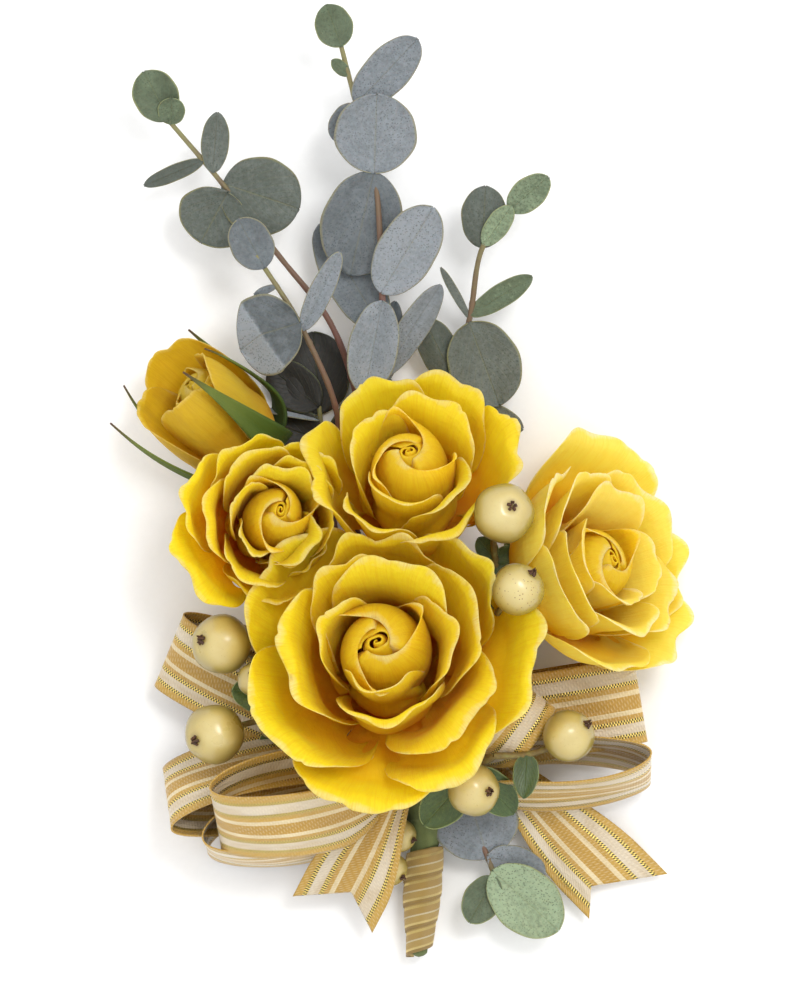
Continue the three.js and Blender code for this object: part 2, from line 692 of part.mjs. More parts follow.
// Leaves: an oval with a raised or sunk middle, folded along its midrib.
// grow works as for a sheet.
function leafSolid(base, tip, width, shape, grow) {
  const segments = 10
  const along = tip.clone().sub(base)
  const half = along.length() / 2 + grow
  const middle = base.clone().lerp(tip, 0.5)
  along.normalize()
  const face = new THREE.Vector3(0, 0, 1).applyAxisAngle(along, (shape.roll ?? 0) * degree)
  const across = face.clone().cross(along).normalize()
  const up = along.clone().cross(across)
  const positions = []
  const index = []
  for (const side of [1, -1]) {
    for (let segment = -1; segment < segments; segment += 1) {
      const reach = segment < 0 ? 0 : 1
      const angle = (Math.max(segment, 0) / segments) * 2 * Math.PI
      const x = half * Math.cos(angle) * reach
      const taper = 1 + (shape.taper ?? 0) * Math.cos(angle)
      const y = (width / 2 + grow) * Math.sin(angle) * taper * reach
      const lift = (shape.cup ?? 0.06) * width * reach + (shape.fold ?? 0) * Math.abs(y)
      const bow = (shape.bow ?? 0) * half * (1 - (x / half) ** 2)
      const height = lift + bow + side * (leafThickness / 2 + grow)
      const point = middle.clone().addScaledVector(along, x)
      point.addScaledVector(across, y).addScaledVector(up, height)
      positions.push(point.x, point.y, point.z)
    }
  }
  const lower = segments + 1
  for (let segment = 0; segment < segments; segment += 1) {
    const here = segment + 1
    const next = ((segment + 1) % segments) + 1
    index.push(0, here, next)
    index.push(lower, next + lower, here + lower)
    index.push(here, here + lower, next + lower)
    index.push(here, next + lower, next)
  }
  const geometry = new THREE.BufferGeometry()
  geometry.setAttribute('position', new THREE.BufferAttribute(new Float32Array(positions), 3))
  geometry.setIndex(index)
  return solidFrom(geometry)
}

function leaf(basePixel, tipPixel, widthPixels, riseShare, shape = {}) {
  return { basePixel, tipPixel, widthPixels, riseShare, shape }
}

// The point of a stem that lies nearest to a pixel, seen from the front.
function nearestOnStem(curve, pixel) {
  const goal = place(pixel, 0)
  const samples = curve.getSpacedPoints(60)
  const distance = (point) => Math.hypot(point.x - goal.x, point.y - goal.y)
  return samples.reduce((best, point) => (distance(point) < distance(best) ? point : best))
}

// A leaf grows from the point of the nearest stem.
function stemLeafSolid(curves, item, grow) {
  const goal = place(item.basePixel, 0)
  const distance = (point) => Math.hypot(point.x - goal.x, point.y - goal.y)
  const nearest = curves.map((curve) => nearestOnStem(curve, item.basePixel))
  const base = nearest.reduce((best, point) => (distance(point) < distance(best) ? point : best))
  const tip = place(item.tipPixel, 0)
  tip.setZ(base.z + item.riseShare * Math.hypot(tip.x - base.x, tip.y - base.y))
  return leafSolid(base, tip, item.widthPixels * photoScale, item.shape, grow)
}

function sprigSolid(sprig, grow) {
  const curve = smoothCurve(sprig.stem.map(([x, y, heightShare]) => place([x, y], heightShare)))
  const parts = [stemSolid(curve, sprigStemRadius + grow, sprig.steps, 5)]
  for (const item of sprig.leaves) parts.push(stemLeafSolid([curve], item, grow))
  return joined(parts)
}

const sprigs = [
  {
    name: 'eucalyptus_centre', look: eucalyptusGrey, steps: 9,
    stem: [[416, 732, 0.05], [405, 560, 0.08], [384, 400, 0.16], [382, 293, 0.24], [374, 169, 0.27],
      [355, 99, 0.3], [341, 45, 0.33]],
    leaves: [
      leaf([341, 45], [326, 4], 38, 0.2), leaf([357, 100], [418, 38], 46, 0.15, { cup: 0.08 }),
      leaf([350, 75], [332, 59], 14, 0.3), leaf([357, 104], [334, 137], 30, -0.5),
      leaf([374, 168], [377, 92], 82, 0.26), leaf([378, 172], [350, 272], 82, -0.24),
      leaf([381, 290], [434, 206], 60, 0.3, { cup: 0.08 }), leaf([384, 330], [320, 222], 55, -0.26),
      leaf([383, 300], [364, 394], 50, 0.05, { fold: 0.35 }),
      leaf([384, 372], [440, 283], 34, 0.1, { roll: 25 }),
      leaf([386, 384], [395, 300], 26, -0.15),
    ],
  },
  {
    name: 'eucalyptus_right', look: eucalyptusGreen, steps: 7,
    stem: [[446, 736, 0.06], [452, 560, 0.08], [452, 420, 0.12], [458, 370, 0.13], [471, 313, 0.17],
      [483, 246, 0.24], [512, 206, 0.28]],
    leaves: [
      leaf([510, 207], [549, 176], 32, 0.1, { fold: 0.3 }),
      leaf([482, 246], [486, 185], 46, 0.1, { cup: -0.06 }),
      leaf([484, 244], [512, 205], 24, 0.4), leaf([472, 312], [533, 275], 24, 0.15),
      leaf([468, 322], [500, 404], 74, -0.12, { cup: 0.06 }), leaf([470, 316], [441, 266], 9, 0.2),
      leaf([458, 384], [424, 318], 40, 0.16, { fold: -0.3 }), leaf([455, 410], [524, 428], 34, -0.06),
    ],
  },
  {
    name: 'eucalyptus_left_tall', look: eucalyptusGreen, steps: 8,
    stem: [[400, 738, 0.05], [380, 560, 0.06], [358, 403, 0.11], [330, 322, 0.16], [278, 254, 0.2],
      [219, 179, 0.24], [167, 118, 0.27]],
    leaves: [
      leaf([167, 118], [143, 70], 46, 0.2, { cup: 0.08 }), leaf([168, 121], [171, 96], 28, 0.5),
      leaf([213, 168], [217, 111], 28, 0.3), leaf([200, 158], [143, 184], 17, 0.05),
      leaf([228, 186], [200, 240], 74, -0.2), leaf([222, 182], [298, 207], 80, 0.1, { cup: -0.05 }),
    ],
  },
  {
    name: 'eucalyptus_left_short', look: eucalyptusGrey, steps: 8,
    stem: [[410, 728, 0.15], [372, 600, 0.1], [344, 470, 0.17], [334, 402, 0.26], [307, 338, 0.32],
      [292, 310, 0.34], [256, 255, 0.36]],
    leaves: [
      leaf([262, 270], [238, 219], 44, 0.1, { cup: 0.08 }),
      leaf([299, 323], [228, 344], 78, 0.1, { cup: 0.05 }),
      leaf([298, 330], [340, 252], 24, 0.25, { fold: 0.4 }),
      leaf([276, 284], [254, 294], 8, 0.1),
    ],
  },
  {
    name: 'backing_leaves', look: eucalyptusGreen, steps: 4,
    stem: [[394, 748, 0.03], [340, 560, 0.025], [320, 425, 0.03], [318, 405, 0.03]],
    leaves: [
      leaf([318, 412], [312, 330], 68, -0.02, { cup: -0.02 }),
      leaf([320, 420], [240, 406], 16, 0.5, { roll: 70 }),
    ],
  },
  {
    name: 'eucalyptus_lower_right', look: eucalyptusGrey, steps: 5,
    stem: [[446, 776, 0.08], [464, 815, 0.1], [484, 850, 0.12], [498, 886, 0.13]],
    leaves: [
      leaf([489, 862], [466, 790], 84, 0.08, { cup: -0.05 }), leaf([489, 858], [546, 878], 38, -0.2),
      leaf([496, 880], [470, 926], 38, 0.05, { cup: 0.1 }),
      leaf([494, 874], [560, 934], 64, 0.12, { cup: 0.08 }),
    ],
  },
]

// Berry sprigs: a main stalk from the head forks to each berry, and small leaves stand beside them.
function berrySprigSolid(sprig, grow) {
  const fork = place(sprig.forkPixel, sprig.forkHeightShare)
  const main = smoothCurve([...sprig.stem.map(([x, y, heightShare]) => place([x, y], heightShare)), fork])
  const curves = [main]
  for (const item of berries.filter((one) => one.sprig === sprig.carries)) {
    const axis = berryAxis(item)
    const foot = place(item.pixel, item.heightShare).addScaledVector(axis, -(item.diameter / 2 + clearance))
    const bend = foot.clone().addScaledVector(axis, -item.diameter * 0.25).lerp(fork, 0.3)
    curves.push(smoothCurve([foot, bend, fork]))
  }
  const parts = curves.map((curve) => stemSolid(curve, berryStalkRadius + grow, 3, 4))
  for (const item of sprig.leaves) parts.push(stemLeafSolid(curves, item, grow))
  return joined(parts)
}

const berrySprigs = [
  {
    name: 'berry_sprig_left', carries: 'left', stem: [[408, 756, 0.19], [384, 748, 0.3]],
    forkPixel: [300, 714], forkHeightShare: 0.37,
    leaves: [leaf([268, 700], [232, 690], 36, 0.1, { taper: -0.2 }), leaf([290, 722], [260, 752], 26, -0.2)],
  },
  {
    name: 'berry_sprig_right', carries: 'right', stem: [[440, 766, 0.19], [456, 762, 0.3]],
    forkPixel: [494, 756], forkHeightShare: 0.4,
    leaves: [
      leaf([470, 770], [425, 826], 44, -0.2), leaf([478, 775], [514, 814], 38, -0.3),
      leaf([525, 748], [524, 798], 26, -0.1, { taper: -0.2 }),
    ],
  },
  {
    name: 'berry_sprig_upper', carries: 'upper', stem: [[444, 736, 0.16], [474, 690, 0.2]],
    forkPixel: [504, 606], forkHeightShare: 0.34,
    leaves: [leaf([492, 560], [478, 538], 22, 0.2), leaf([500, 560], [514, 548], 18, 0.1)],
  },
  {
    name: 'berry_sprig_low', carries: 'low', stem: [[402, 814, 0.1]],
    forkPixel: [394, 822], forkHeightShare: 0.14, leaves: [],
  },
]

for (const item of berries) {
  addPiece(item.name, berryCream, (grow) => berrySolid(item, grow))
}
for (const sprig of berrySprigs) {
  addPiece(sprig.name, berryLeafGreen, (grow) => berrySprigSolid(sprig, grow))
}

// The bow. Each loop leaves its pinch beside the bundle, turns at its far end and comes back.
// across is the way its width lies, and hollowShare is the height of its hollow over the ribbon's width.
function loop(name, root, tip, across, hollowShare) {
  return { name, root, tip, across, hollowShare }
}

const loops = [
  loop('bow_loop_left_front', [396, 786, 0.2], [216, 816, 0.47], [-0.1, 0.72, 0.7], 0.78),
  loop('bow_loop_left_upper', [388, 742, 0.16], [168, 650, 0.17], [0.1, 0.85, 0.42], 0.7),
  loop('bow_loop_left_outer', [385, 762, 0.1], [166, 800, 0.245], [0.3, -0.6, 0.75], 0.7),
  loop('bow_loop_left_low', [396, 806, 0.1], [204, 846, 0.225], [0.1, 0.24, 0.96], 0.8),
  loop('bow_loop_right_inner', [460, 762, 0.18], [520, 682, 0.36], [0.92, -0.45, -0.2], 0.7),
  loop('bow_loop_right_upper', [460, 730, 0.15], [642, 700, 0.17], [0.03, 1, 0.06], 0.5),
  loop('bow_loop_right_low', [459, 778, 0.16], [652, 770, 0.25], [-0.06, 0.34, 0.9], 0.6),
]

const kneeShare = 0.3

function loopPoint(item, u, v) {
  const [root, tip] = [item.root, item.tip].map(([x, y, heightShare]) => place([x, y], heightShare))
  const knee = root.clone().lerp(tip, kneeShare).setZ(tip.z)
  const outward = tip.clone().sub(knee).normalize()
  const across = new THREE.Vector3(...item.across)
  across.addScaledVector(outward, -across.dot(outward)).normalize()
  const lift = outward.clone().cross(across)
  const angle = v * 2 * Math.PI
  const out = (1 - Math.cos(angle)) / 2
  const belly = (Math.sin(angle) * out ** 0.35 * item.hollowShare * ribbonWidth) / 2
  const opening = (Math.cos(angle / 2) * pinchOpening) / 2
  const width = THREE.MathUtils.lerp(pinchWidth, ribbonWidth, smooth(out * 2.2))
  const line = new THREE.QuadraticBezierCurve3(root, knee, tip)
  return line.getPoint(out)
    .addScaledVector(lift, belly + opening)
    .addScaledVector(across, (u * width) / 2)
}

const loopSteps = 18
for (const item of loops) {
  addPiece(item.name, ribbonGold, (grow) =>
    sheetSolid((u, v) => loopPoint(item, u, v), 1, loopSteps, ribbonThickness, grow))
}

// The tails: flat ends of the same ribbon, each cut to a swallow's tail.
// notchShare: the notch's place across, from -1 to 1; slant: how far the cut runs out at the far edge.
const tails = [
  {
    name: 'bow_tail_left', root: [408, 768, 0.215], end: [332, 918, 0.14],
    archShare: 0.3, notchShare: 0.15, slant: -0.3,
  },
  {
    name: 'bow_tail_right', root: [474, 742, 0.075], end: [631, 901, 0.06],
    archShare: 0.04, notchShare: -0.44, slant: 2.1,
  },
]
const notchDepth = 5.2
const tailWidening = 1.2

// The middle column of a tail runs down to its notch.
function tailPoint(item, u, v) {
  const [root, end] = [item.root, item.end].map(([x, y, heightShare]) => place([x, y], heightShare))
  const along = end.clone().sub(root)
  const length = along.length()
  along.normalize()
  const across = new THREE.Vector3(0, 0, 1).cross(along).normalize()
  const narrow = THREE.MathUtils.lerp(pinchWidth / ribbonWidth, 1, smooth(v * tailWidening))
  const sideShare = item.notchShare + u * (1 - Math.sign(u) * item.notchShare)
  const cut = length - notchDepth * (1 - Math.abs(u)) + item.slant * sideShare
  return root
    .addScaledVector(along, v * cut)
    .addScaledVector(across, (sideShare * narrow * ribbonWidth) / 2)
    .add(new THREE.Vector3(0, 0, item.archShare * ribbonWidth * Math.sin(v * Math.PI)))
}

const tailRows = 5
for (const item of tails) {
  addPiece(item.name, ribbonGold, (grow) =>
    sheetSolid((u, v) => tailPoint(item, u, v), 2, tailRows, ribbonThickness, grow))
}

for (const sprig of sprigs) {
  addPiece(sprig.name, sprig.look, (grow) => sprigSolid(sprig, grow))
}

// The origin is under the middle of the whole corsage, on the surface that it lies on.
const bounds = new THREE.Box3().setFromObject(corsage)
const middle = bounds.getCenter(new THREE.Vector3())
corsage.position.set(-middle.x, -middle.y, -bounds.min.z)

export default corsage
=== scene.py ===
"""A wired rose corsage with its petals, leaves, berries and striped bow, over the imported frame.

Metres. The corsage lies on its back on z = 0, its sprigs run up +Y and its flowers face +Z.
"""

import math

import bmesh
import bpy
import numpy as np
from mathutils import Matrix, Vector


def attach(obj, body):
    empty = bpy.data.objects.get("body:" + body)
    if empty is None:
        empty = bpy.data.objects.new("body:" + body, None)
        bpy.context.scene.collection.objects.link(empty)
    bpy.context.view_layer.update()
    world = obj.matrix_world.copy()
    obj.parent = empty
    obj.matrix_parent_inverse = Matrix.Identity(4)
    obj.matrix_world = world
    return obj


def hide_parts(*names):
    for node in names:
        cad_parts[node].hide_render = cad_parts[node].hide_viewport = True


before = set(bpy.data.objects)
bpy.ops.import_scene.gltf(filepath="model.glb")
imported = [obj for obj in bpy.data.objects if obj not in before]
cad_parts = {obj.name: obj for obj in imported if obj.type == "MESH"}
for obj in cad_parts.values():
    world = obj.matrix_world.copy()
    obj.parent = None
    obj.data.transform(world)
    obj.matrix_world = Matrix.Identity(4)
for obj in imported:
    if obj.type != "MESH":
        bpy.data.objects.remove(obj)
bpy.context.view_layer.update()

# Camera
# It hangs high above the corsage and looks straight down, so the flowers are seen face on.
scene = bpy.context.scene
pixel_size = 0.18e-3
picture_size = (800, 1000)
centre_pixel = (401, 484)
corsage_depth = 0.050
# The frame's origin is the middle of the part's box, which lies this far from the centre pixel.
origin_shift = Vector((0.7041e-3, -0.1621e-3, 0))


def place(pixel, height_share=0.0):
    """The point of the corsage that shows at a pixel of the picture, at a share of its depth."""
    right = (pixel[0] - centre_pixel[0]) * pixel_size
    up = (centre_pixel[1] - pixel[1]) * pixel_size
    return Vector((right, up, height_share * corsage_depth)) + origin_shift


camera_height = 1.5
# At this height over the table a pixel of the picture spans exactly its size.
scale_height = 0.02
sensor_size = 36
camera = bpy.data.objects.new("camera", bpy.data.cameras.new("camera"))
camera.location = place((picture_size[0] / 2, picture_size[1] / 2)) + Vector((0, 0, camera_height))
camera.data.sensor_width = sensor_size
camera.data.lens = sensor_size * (camera_height - scale_height) / (picture_size[1] * pixel_size)
camera.data.clip_start = 0.1
camera.data.clip_end = 10
scene.collection.objects.link(camera)
scene.camera = camera
scene.view_settings.view_transform = "Standard"

# Floor and lights
# A plain white table under a bright even sky, with one soft lamp from the upper right.


def linear(code):
    """A colour written as #RRGGBB, as the shaders need it."""
    parts = [int(code[i : i + 2], 16) / 255 for i in (1, 3, 5)]
    return [p / 12.92 if p <= 0.04045 else ((p + 0.055) / 1.055) ** 2.4 for p in parts] + [1]


def new_material(name, roughness, **shader_values):
    """A material with one Principled shader, its even values set on the shader itself."""
    material = bpy.data.materials.new(name)
    material.use_nodes = True
    shader = material.node_tree.nodes["Principled BSDF"]
    shader.inputs["Roughness"].default_value = roughness
    for socket, value in shader_values.items():
        shader.inputs[socket.replace("_", " ")].default_value = value
    return material


def feed(tree, socket, value):
    """Puts a number, a colour or another node's output into a socket."""
    if isinstance(value, bpy.types.NodeSocket):
        tree.links.new(value, socket)
    elif value is not None:
        socket.default_value = value


def add_node(tree, kind, inputs=(), **settings):
    """Adds one node; inputs pairs a socket's name or number with what goes into it."""
    made = tree.nodes.new(kind)
    for setting, value in settings.items():
        setattr(made, setting, value)
    for key, value in dict(inputs).items():
        feed(tree, made.inputs[key], value)
    return made


def node(material, kind, inputs=(), **settings):
    return add_node(material.node_tree, "ShaderNode" + kind, inputs, **settings)


def sums(material, operation, first, second=None):
    return node(material, "Math", {0: first, 1: second}, operation=operation).outputs[0]


def times(material, first, second):
    return sums(material, "MULTIPLY", first, second)


def plus(material, first, second):
    return sums(material, "ADD", first, second)


def minus(material, first, second):
    return sums(material, "SUBTRACT", first, second)


def scaled(material, vector, sizes):
    return node(material, "Mapping", {"Vector": vector, "Scale": sizes}).outputs[0]


def cloudy(material, vector, scale, detail=3.0, roughness=0.55, distortion=0.0):
    """A soft random pattern from 0 to 1."""
    shares = {"Detail": detail, "Roughness": roughness, "Distortion": distortion}
    return node(material, "TexNoise", {"Vector": vector, "Scale": scale, **shares}).outputs[0]


def graded(material, share, stops, interpolation="LINEAR"):
    """A ramp of colours or grey values over a share from 0 to 1."""
    ramp = node(material, "ValToRGB", {0: share})
    ramp.color_ramp.interpolation = interpolation
    elements = ramp.color_ramp.elements
    while len(elements) < len(stops):
        elements.new(1)
    for element, (position, value) in zip(elements, stops):
        element.position = position
        element.color = linear(value) if isinstance(value, str) else (value, value, value, 1)
    return ramp.outputs[0]


def blended(material, share, first, second, blend_type="MIX"):
    """first where share is 0 and second where it is 1."""
    first = linear(first) if isinstance(first, str) else first
    second = linear(second) if isinstance(second, str) else second
    inputs = {0: share, 6: first, 7: second}
    return node(material, "Mix", inputs, data_type="RGBA", blend_type=blend_type).outputs[2]


def bumped(material, height, depth, below=None):
    """A bump of that depth in metres, over another bump if there is one."""
    return node(material, "Bump", {"Height": height, "Distance": depth, "Normal": below}).outputs[0]


def dressed(material, **values):
    """Feeds the shader's sockets: the colour, the normal and any other by its name."""
    shader = material.node_tree.nodes["Principled BSDF"]
    names = {"colour": "Base Color", "roughness": "Roughness", "normal": "Normal"}
    for socket, value in values.items():
        feed(material.node_tree, shader.inputs[names.get(socket, socket)], value)


floor_size = 3.0
floor_drop = 0.2e-3
table_white = new_material("table_white", 0.9)
table_spot = node(table_white, "TexCoord").outputs["Object"]
table_grain = cloudy(table_white, table_spot, 900)
dressed(
    table_white,
    colour=graded(table_white, table_grain, [(0.2, "#FAFAFA"), (0.8, "#FDFDFD")]),
    normal=bumped(table_white, table_grain, 0.02e-3),
)
floor_mesh = bpy.data.meshes.new("floor")
half = floor_size / 2
floor_corners = [(x * half, y * half, -floor_drop) for x, y in ((-1, -1), (1, -1), (1, 1), (-1, 1))]
floor_mesh.from_pydata(floor_corners, [], [(0, 1, 2, 3)])
floor_mesh.materials.append(table_white)
floor = bpy.data.objects.new("floor", floor_mesh)
scene.collection.objects.link(floor)

sky_strength = 1.16
scene.world = bpy.data.worlds.new("sky")
scene.world.use_nodes = True
sky = scene.world.node_tree.nodes["Background"]
sky.inputs["Color"].default_value = (1, 1, 1, 1)
sky.inputs["Strength"].default_value = sky_strength

lamp_spot = Vector((0.3, 0.34, 1.0))
lamp_watts = 4.2
lamp_size = 0.3
lamp = bpy.data.objects.new("key_lamp", bpy.data.lights.new("key_lamp", "AREA"))
lamp.data.energy = lamp_watts
lamp.data.size = lamp_size
lamp.location = lamp_spot
lamp.rotation_mode = "QUATERNION"
lamp.rotation_quaternion = (-lamp_spot).to_track_quat("-Z", "Y")
scene.collection.objects.link(lamp)

# Stem bundle
# All the cut stems lie side by side, squeezed flat behind the flowers, and crepe tape is wound
# round them from the head down to the tip. The tape's laps stand up as low slanting ridges.
steps_between_knots = 24


def smooth(value):
    share = np.clip(value, 0, 1)
    return share * share * (3 - 2 * share)


def lerp(a, b, share):
    return a + (b - a) * share


def run_along(line):
    """How far along the line each of its points lies."""
    return np.concatenate([[0], np.cumsum(np.linalg.norm(np.diff(line, axis=0), axis=1))])


def smooth_line(points, count):
    """A line of count points, evenly spaced on a smooth curve through the given ones."""
    knots = [np.array(p, float) for p in points]
    knots = [2 * knots[0] - knots[1], *knots, 2 * knots[-1] - knots[-2]]
    share = np.linspace(0, 1, steps_between_knots, endpoint=False)[:, None]
    squared, cubed = share**2, share**3
    dense = []
    for a, b, c, d in zip(knots, knots[1:], knots[2:], knots[3:]):
        gaps = [max(math.sqrt(np.linalg.norm(q - p)), 1e-6) for p, q in ((a, b), (b, c), (c, d))]
        leave = ((b - a) / gaps[0] - (c - a) / (gaps[0] + gaps[1]) + (c - b) / gaps[1]) * gaps[1]
        reach = ((c - b) / gaps[1] - (d - b) / (gaps[1] + gaps[2]) + (d - c) / gaps[2]) * gaps[1]
        start = (2 * cubed - 3 * squared + 1) * b + (cubed - 2 * squared + share) * leave
        dense.append(start + (3 * squared - 2 * cubed) * c + (cubed - squared) * reach)
    line = np.vstack([*dense, knots[-2][None]])
    run = run_along(line)
    goals = np.linspace(0, run[-1], count)
    return np.column_stack([np.interp(goals, run, line[:, axis]) for axis in range(3)])


def unit(vectors):
    return vectors / np.maximum(np.linalg.norm(vectors, axis=-1, keepdims=True), 1e-12)


def new_shape():
    return {"points": [], "faces": [], "across": [], "along": [], "tone": []}


def add_points(shape, points, **shares):
    start = len(shape["points"])
    shape["points"] += points.reshape(-1, 3).tolist()
    for share, values in shares.items():
        shape[share] += np.broadcast_to(values, points.shape[:2]).ravel().tolist()
    return start


def add_skin(shape, points, across, along, tone=0.5):
    """One surface over a grid of points. A closed round shape repeats its first column at the end."""
    start = add_points(shape, points, across=across, along=along, tone=tone)
    rows, columns = points.shape[:2]
    for r in range(rows - 1):
        for c in range(columns - 1):
            a = start + r * columns + c
            shape["faces"].append((a, a + 1, a + columns + 1, a + columns))


def add_sheet(shape, points, thickness, across, along, tone=0.5):
    """A thin solid sheet over a grid of points: a front, a back and a rim that joins them."""
    rows, columns = points.shape[:2]
    facing = unit(np.cross(np.gradient(points, axis=1), np.gradient(points, axis=0)))
    lift = facing * np.broadcast_to(thickness, points.shape[:2])[..., None] / 2
    shares = {"across": across, "along": along, "tone": tone}
    front = add_points(shape, points + lift, **shares)
    back = add_points(shape, points - lift, **shares)
    for r in range(rows - 1):
        for c in range(columns - 1):
            a, b = r * columns + c, (r + 1) * columns + c
            quad = (a, a + 1, b + 1, b)
            shape["faces"].append(tuple(front + i for i in quad))
            shape["faces"].append(tuple(back + i for i in reversed(quad)))
    rim = [(0, c) for c in range(columns)] + [(r, columns - 1) for r in range(1, rows)]
    rim += [(rows - 1, c) for c in range(columns - 2, -1, -1)] + [(r, 0) for r in range(rows - 2, 0, -1)]
    for (r1, c1), (r2, c2) in zip(rim, rim[1:] + rim[:1]):
        a, b = r1 * columns + c1, r2 * columns + c2
        shape["faces"].append((front + b, front + a, back + a, back + b))


def make_piece(node_name, shape, materials, part=""):
    """Turns a shape into a piece of the corsage: welded, faces out, smooth, on the one rigid body."""
    mesh = bpy.data.meshes.new(node_name + part)
    mesh.from_pydata(shape["points"], [], shape["faces"])
    corners = [loop.vertex_index for loop in mesh.loops]
    flat = np.column_stack([np.array(shape[share])[corners] for share in ("across", "along")])
    mesh.uv_layers.new(name="cloth").data.foreach_set("uv", flat.ravel())
    mesh.attributes.new("tone", "FLOAT", "POINT").data.foreach_set("value", shape["tone"])
    if "paint" in shape:
        mesh.polygons.foreach_set("material_index", shape["paint"])
    work = bmesh.new()
    work.from_mesh(mesh)
    bmesh.ops.remove_doubles(work, verts=work.verts, dist=1e-7)
    bmesh.ops.dissolve_degenerate(work, edges=work.edges, dist=1e-8)
    bmesh.ops.recalc_face_normals(work, faces=work.faces)
    work.to_mesh(mesh)
    work.free()
    mesh.polygons.foreach_set("use_smooth", [True] * len(mesh.polygons))
    for material in materials:
        mesh.materials.append(material)
    return on_body(node_name, mesh, part)


def on_body(node_name, mesh, part=""):
    """The piece's name is its node's, and its part's where a node has more than one piece."""
    piece = bpy.data.objects.new((node_name + part).capitalize(), mesh)
    scene.collection.objects.link(piece)
    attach(piece, "root")
    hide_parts(node_name)
    return piece


def spot_on(material):
    """The place on the object, which no shape's own map can stretch."""
    return node(material, "TexCoord").outputs["Object"]


def map_shares(material):
    """A sheet's own map, and its across and along shares."""
    flat = node(material, "UVMap", uv_map="cloth").outputs[0]
    split = node(material, "SeparateXYZ", {0: flat})
    return flat, split.outputs[0], split.outputs[1]


def own_tone(material):
    return node(material, "Attribute", attribute_name="tone").outputs["Fac"]


bundle_back = 4.4e-3
bundle_pixels = [(424, 722), (421, 775), (425, 850), (422, 905), (419, 962)]
bundle_places = [place(pixel) + Vector((0, 0, bundle_back)) for pixel in bundle_pixels]
bundle_radii = [5.6e-3, 5.6e-3, 2.7e-3, 2.7e-3, 1.5e-3]
tape_width = 5.5e-3
tape_lap_height = 0.22e-3
stem_ridge_height = 0.3e-3
stem_ridges = 8
ridge_twist = 60
end_rounding = 0.8e-3
table_gap = 0.05e-3

crepe_tape = new_material("crepe_tape", 0.85)
tape_spot = spot_on(crepe_tape)
tape_map = map_shares(crepe_tape)[0]
tape_creases = cloudy(crepe_tape, scaled(crepe_tape, tape_map, (60, 900, 1)), 3, distortion=0.4)
tape_stains = cloudy(crepe_tape, tape_spot, 260)
tape_colour = graded(crepe_tape, tape_stains, [(0.25, "#3F4A26"), (0.6, "#5D6B3A"), (0.9, "#77804A")])
dressed(
    crepe_tape,
    colour=blended(crepe_tape, times(crepe_tape, tape_creases, 0.5), tape_colour, "#8A9160"),
    roughness=graded(crepe_tape, tape_stains, [(0, 0.7), (1, 0.95)]),
    normal=bumped(crepe_tape, tape_creases, 0.12e-3),
)


def taped_bundle():
    """The bundle's rows run from the head to the tip; its back is pressed flat on the table."""
    rows, sides = 170, 72
    line = smooth_line(bundle_places, rows)
    run = np.linspace(0, run_along(line)[-1], rows)[:, None]
    radius = np.interp(run, run_along(np.array(bundle_places)), bundle_radii)
    angle = np.linspace(0, 2 * math.pi, sides + 1)[None, :]
    lap = (run / tape_width - angle / (2 * math.pi)) % 1
    ridges = stem_ridge_height * np.abs(np.cos(angle * stem_ridges / 2 + run * ridge_twist))
    bared = np.clip(radius / bundle_radii[0], 0.3, 1)
    far = radius - stem_ridge_height + ridges * bared + tape_lap_height * lap**2
    far = far * np.sqrt(np.clip(np.minimum(run, run[-1] - run) / end_rounding, 0, 1))
    x = line[:, None, 0] + far * np.cos(angle)
    z = np.maximum(far * np.sin(angle), table_gap - bundle_back) + line[:, None, 2]
    shape = new_shape()
    points = np.stack(np.broadcast_arrays(x, line[:, None, 1], z), axis=-1)
    add_skin(shape, points, angle / (2 * math.pi), run)
    return shape


make_piece("stem_bundle", taped_bundle(), [crepe_tape])

# Roses: calyx and stem
# Each rose sits on a green cup whose sepals spread below its petals, on a stem that bends down
# into the bundle. The bud's sepals are long and still hold it.
petal_thickness = 0.6e-3
petal_gap = 0.5e-3
seat_clearance = 0.8e-3
sepal_thickness = 0.7e-3
calyx_length = 6e-3
rose_stem_radius = 1.3e-3
stem_gap = 0.3e-3
heart_core_radius = 0.6e-3
heart_turns = 2.25
heart_base_radius = heart_core_radius + heart_turns * (petal_thickness + petal_gap)
seat_slope = 0.6


def bezier(share, a, b, c, d):
    rest = 1 - share
    return rest**3 * a + 3 * rest**2 * share * b + 3 * rest * share**2 * c + share**3 * d


def around(out, angle, up, side=0.0):
    """Points at a distance out from +Z, at an angle round it, with a step to the side."""
    x = out * np.cos(angle) - side * np.sin(angle)
    y = out * np.sin(angle) + side * np.cos(angle)
    return np.stack(np.broadcast_arrays(x, y, up), axis=-1)


def standing(point, axis):
    """Where a shape made along +Z stands: on a point, facing along an axis, its X to the right."""
    axis = Vector(axis)
    right = (Vector((1, 0, 0)) - axis * axis.x).normalized()
    up = axis.cross(right)
    turned = Matrix((right, up, axis)).transposed()
    return np.array(turned), np.array(point)


def stood(points, stand):
    turned, point = stand
    return points @ turned.T + point


def leaning(lean, towards):
    """The direction that leans that many degrees from +Z, towards a direction counted from +X."""
    lean, towards = math.radians(lean), math.radians(towards)
    return math.sin(lean) * math.cos(towards), math.sin(lean) * math.sin(towards), math.cos(lean)


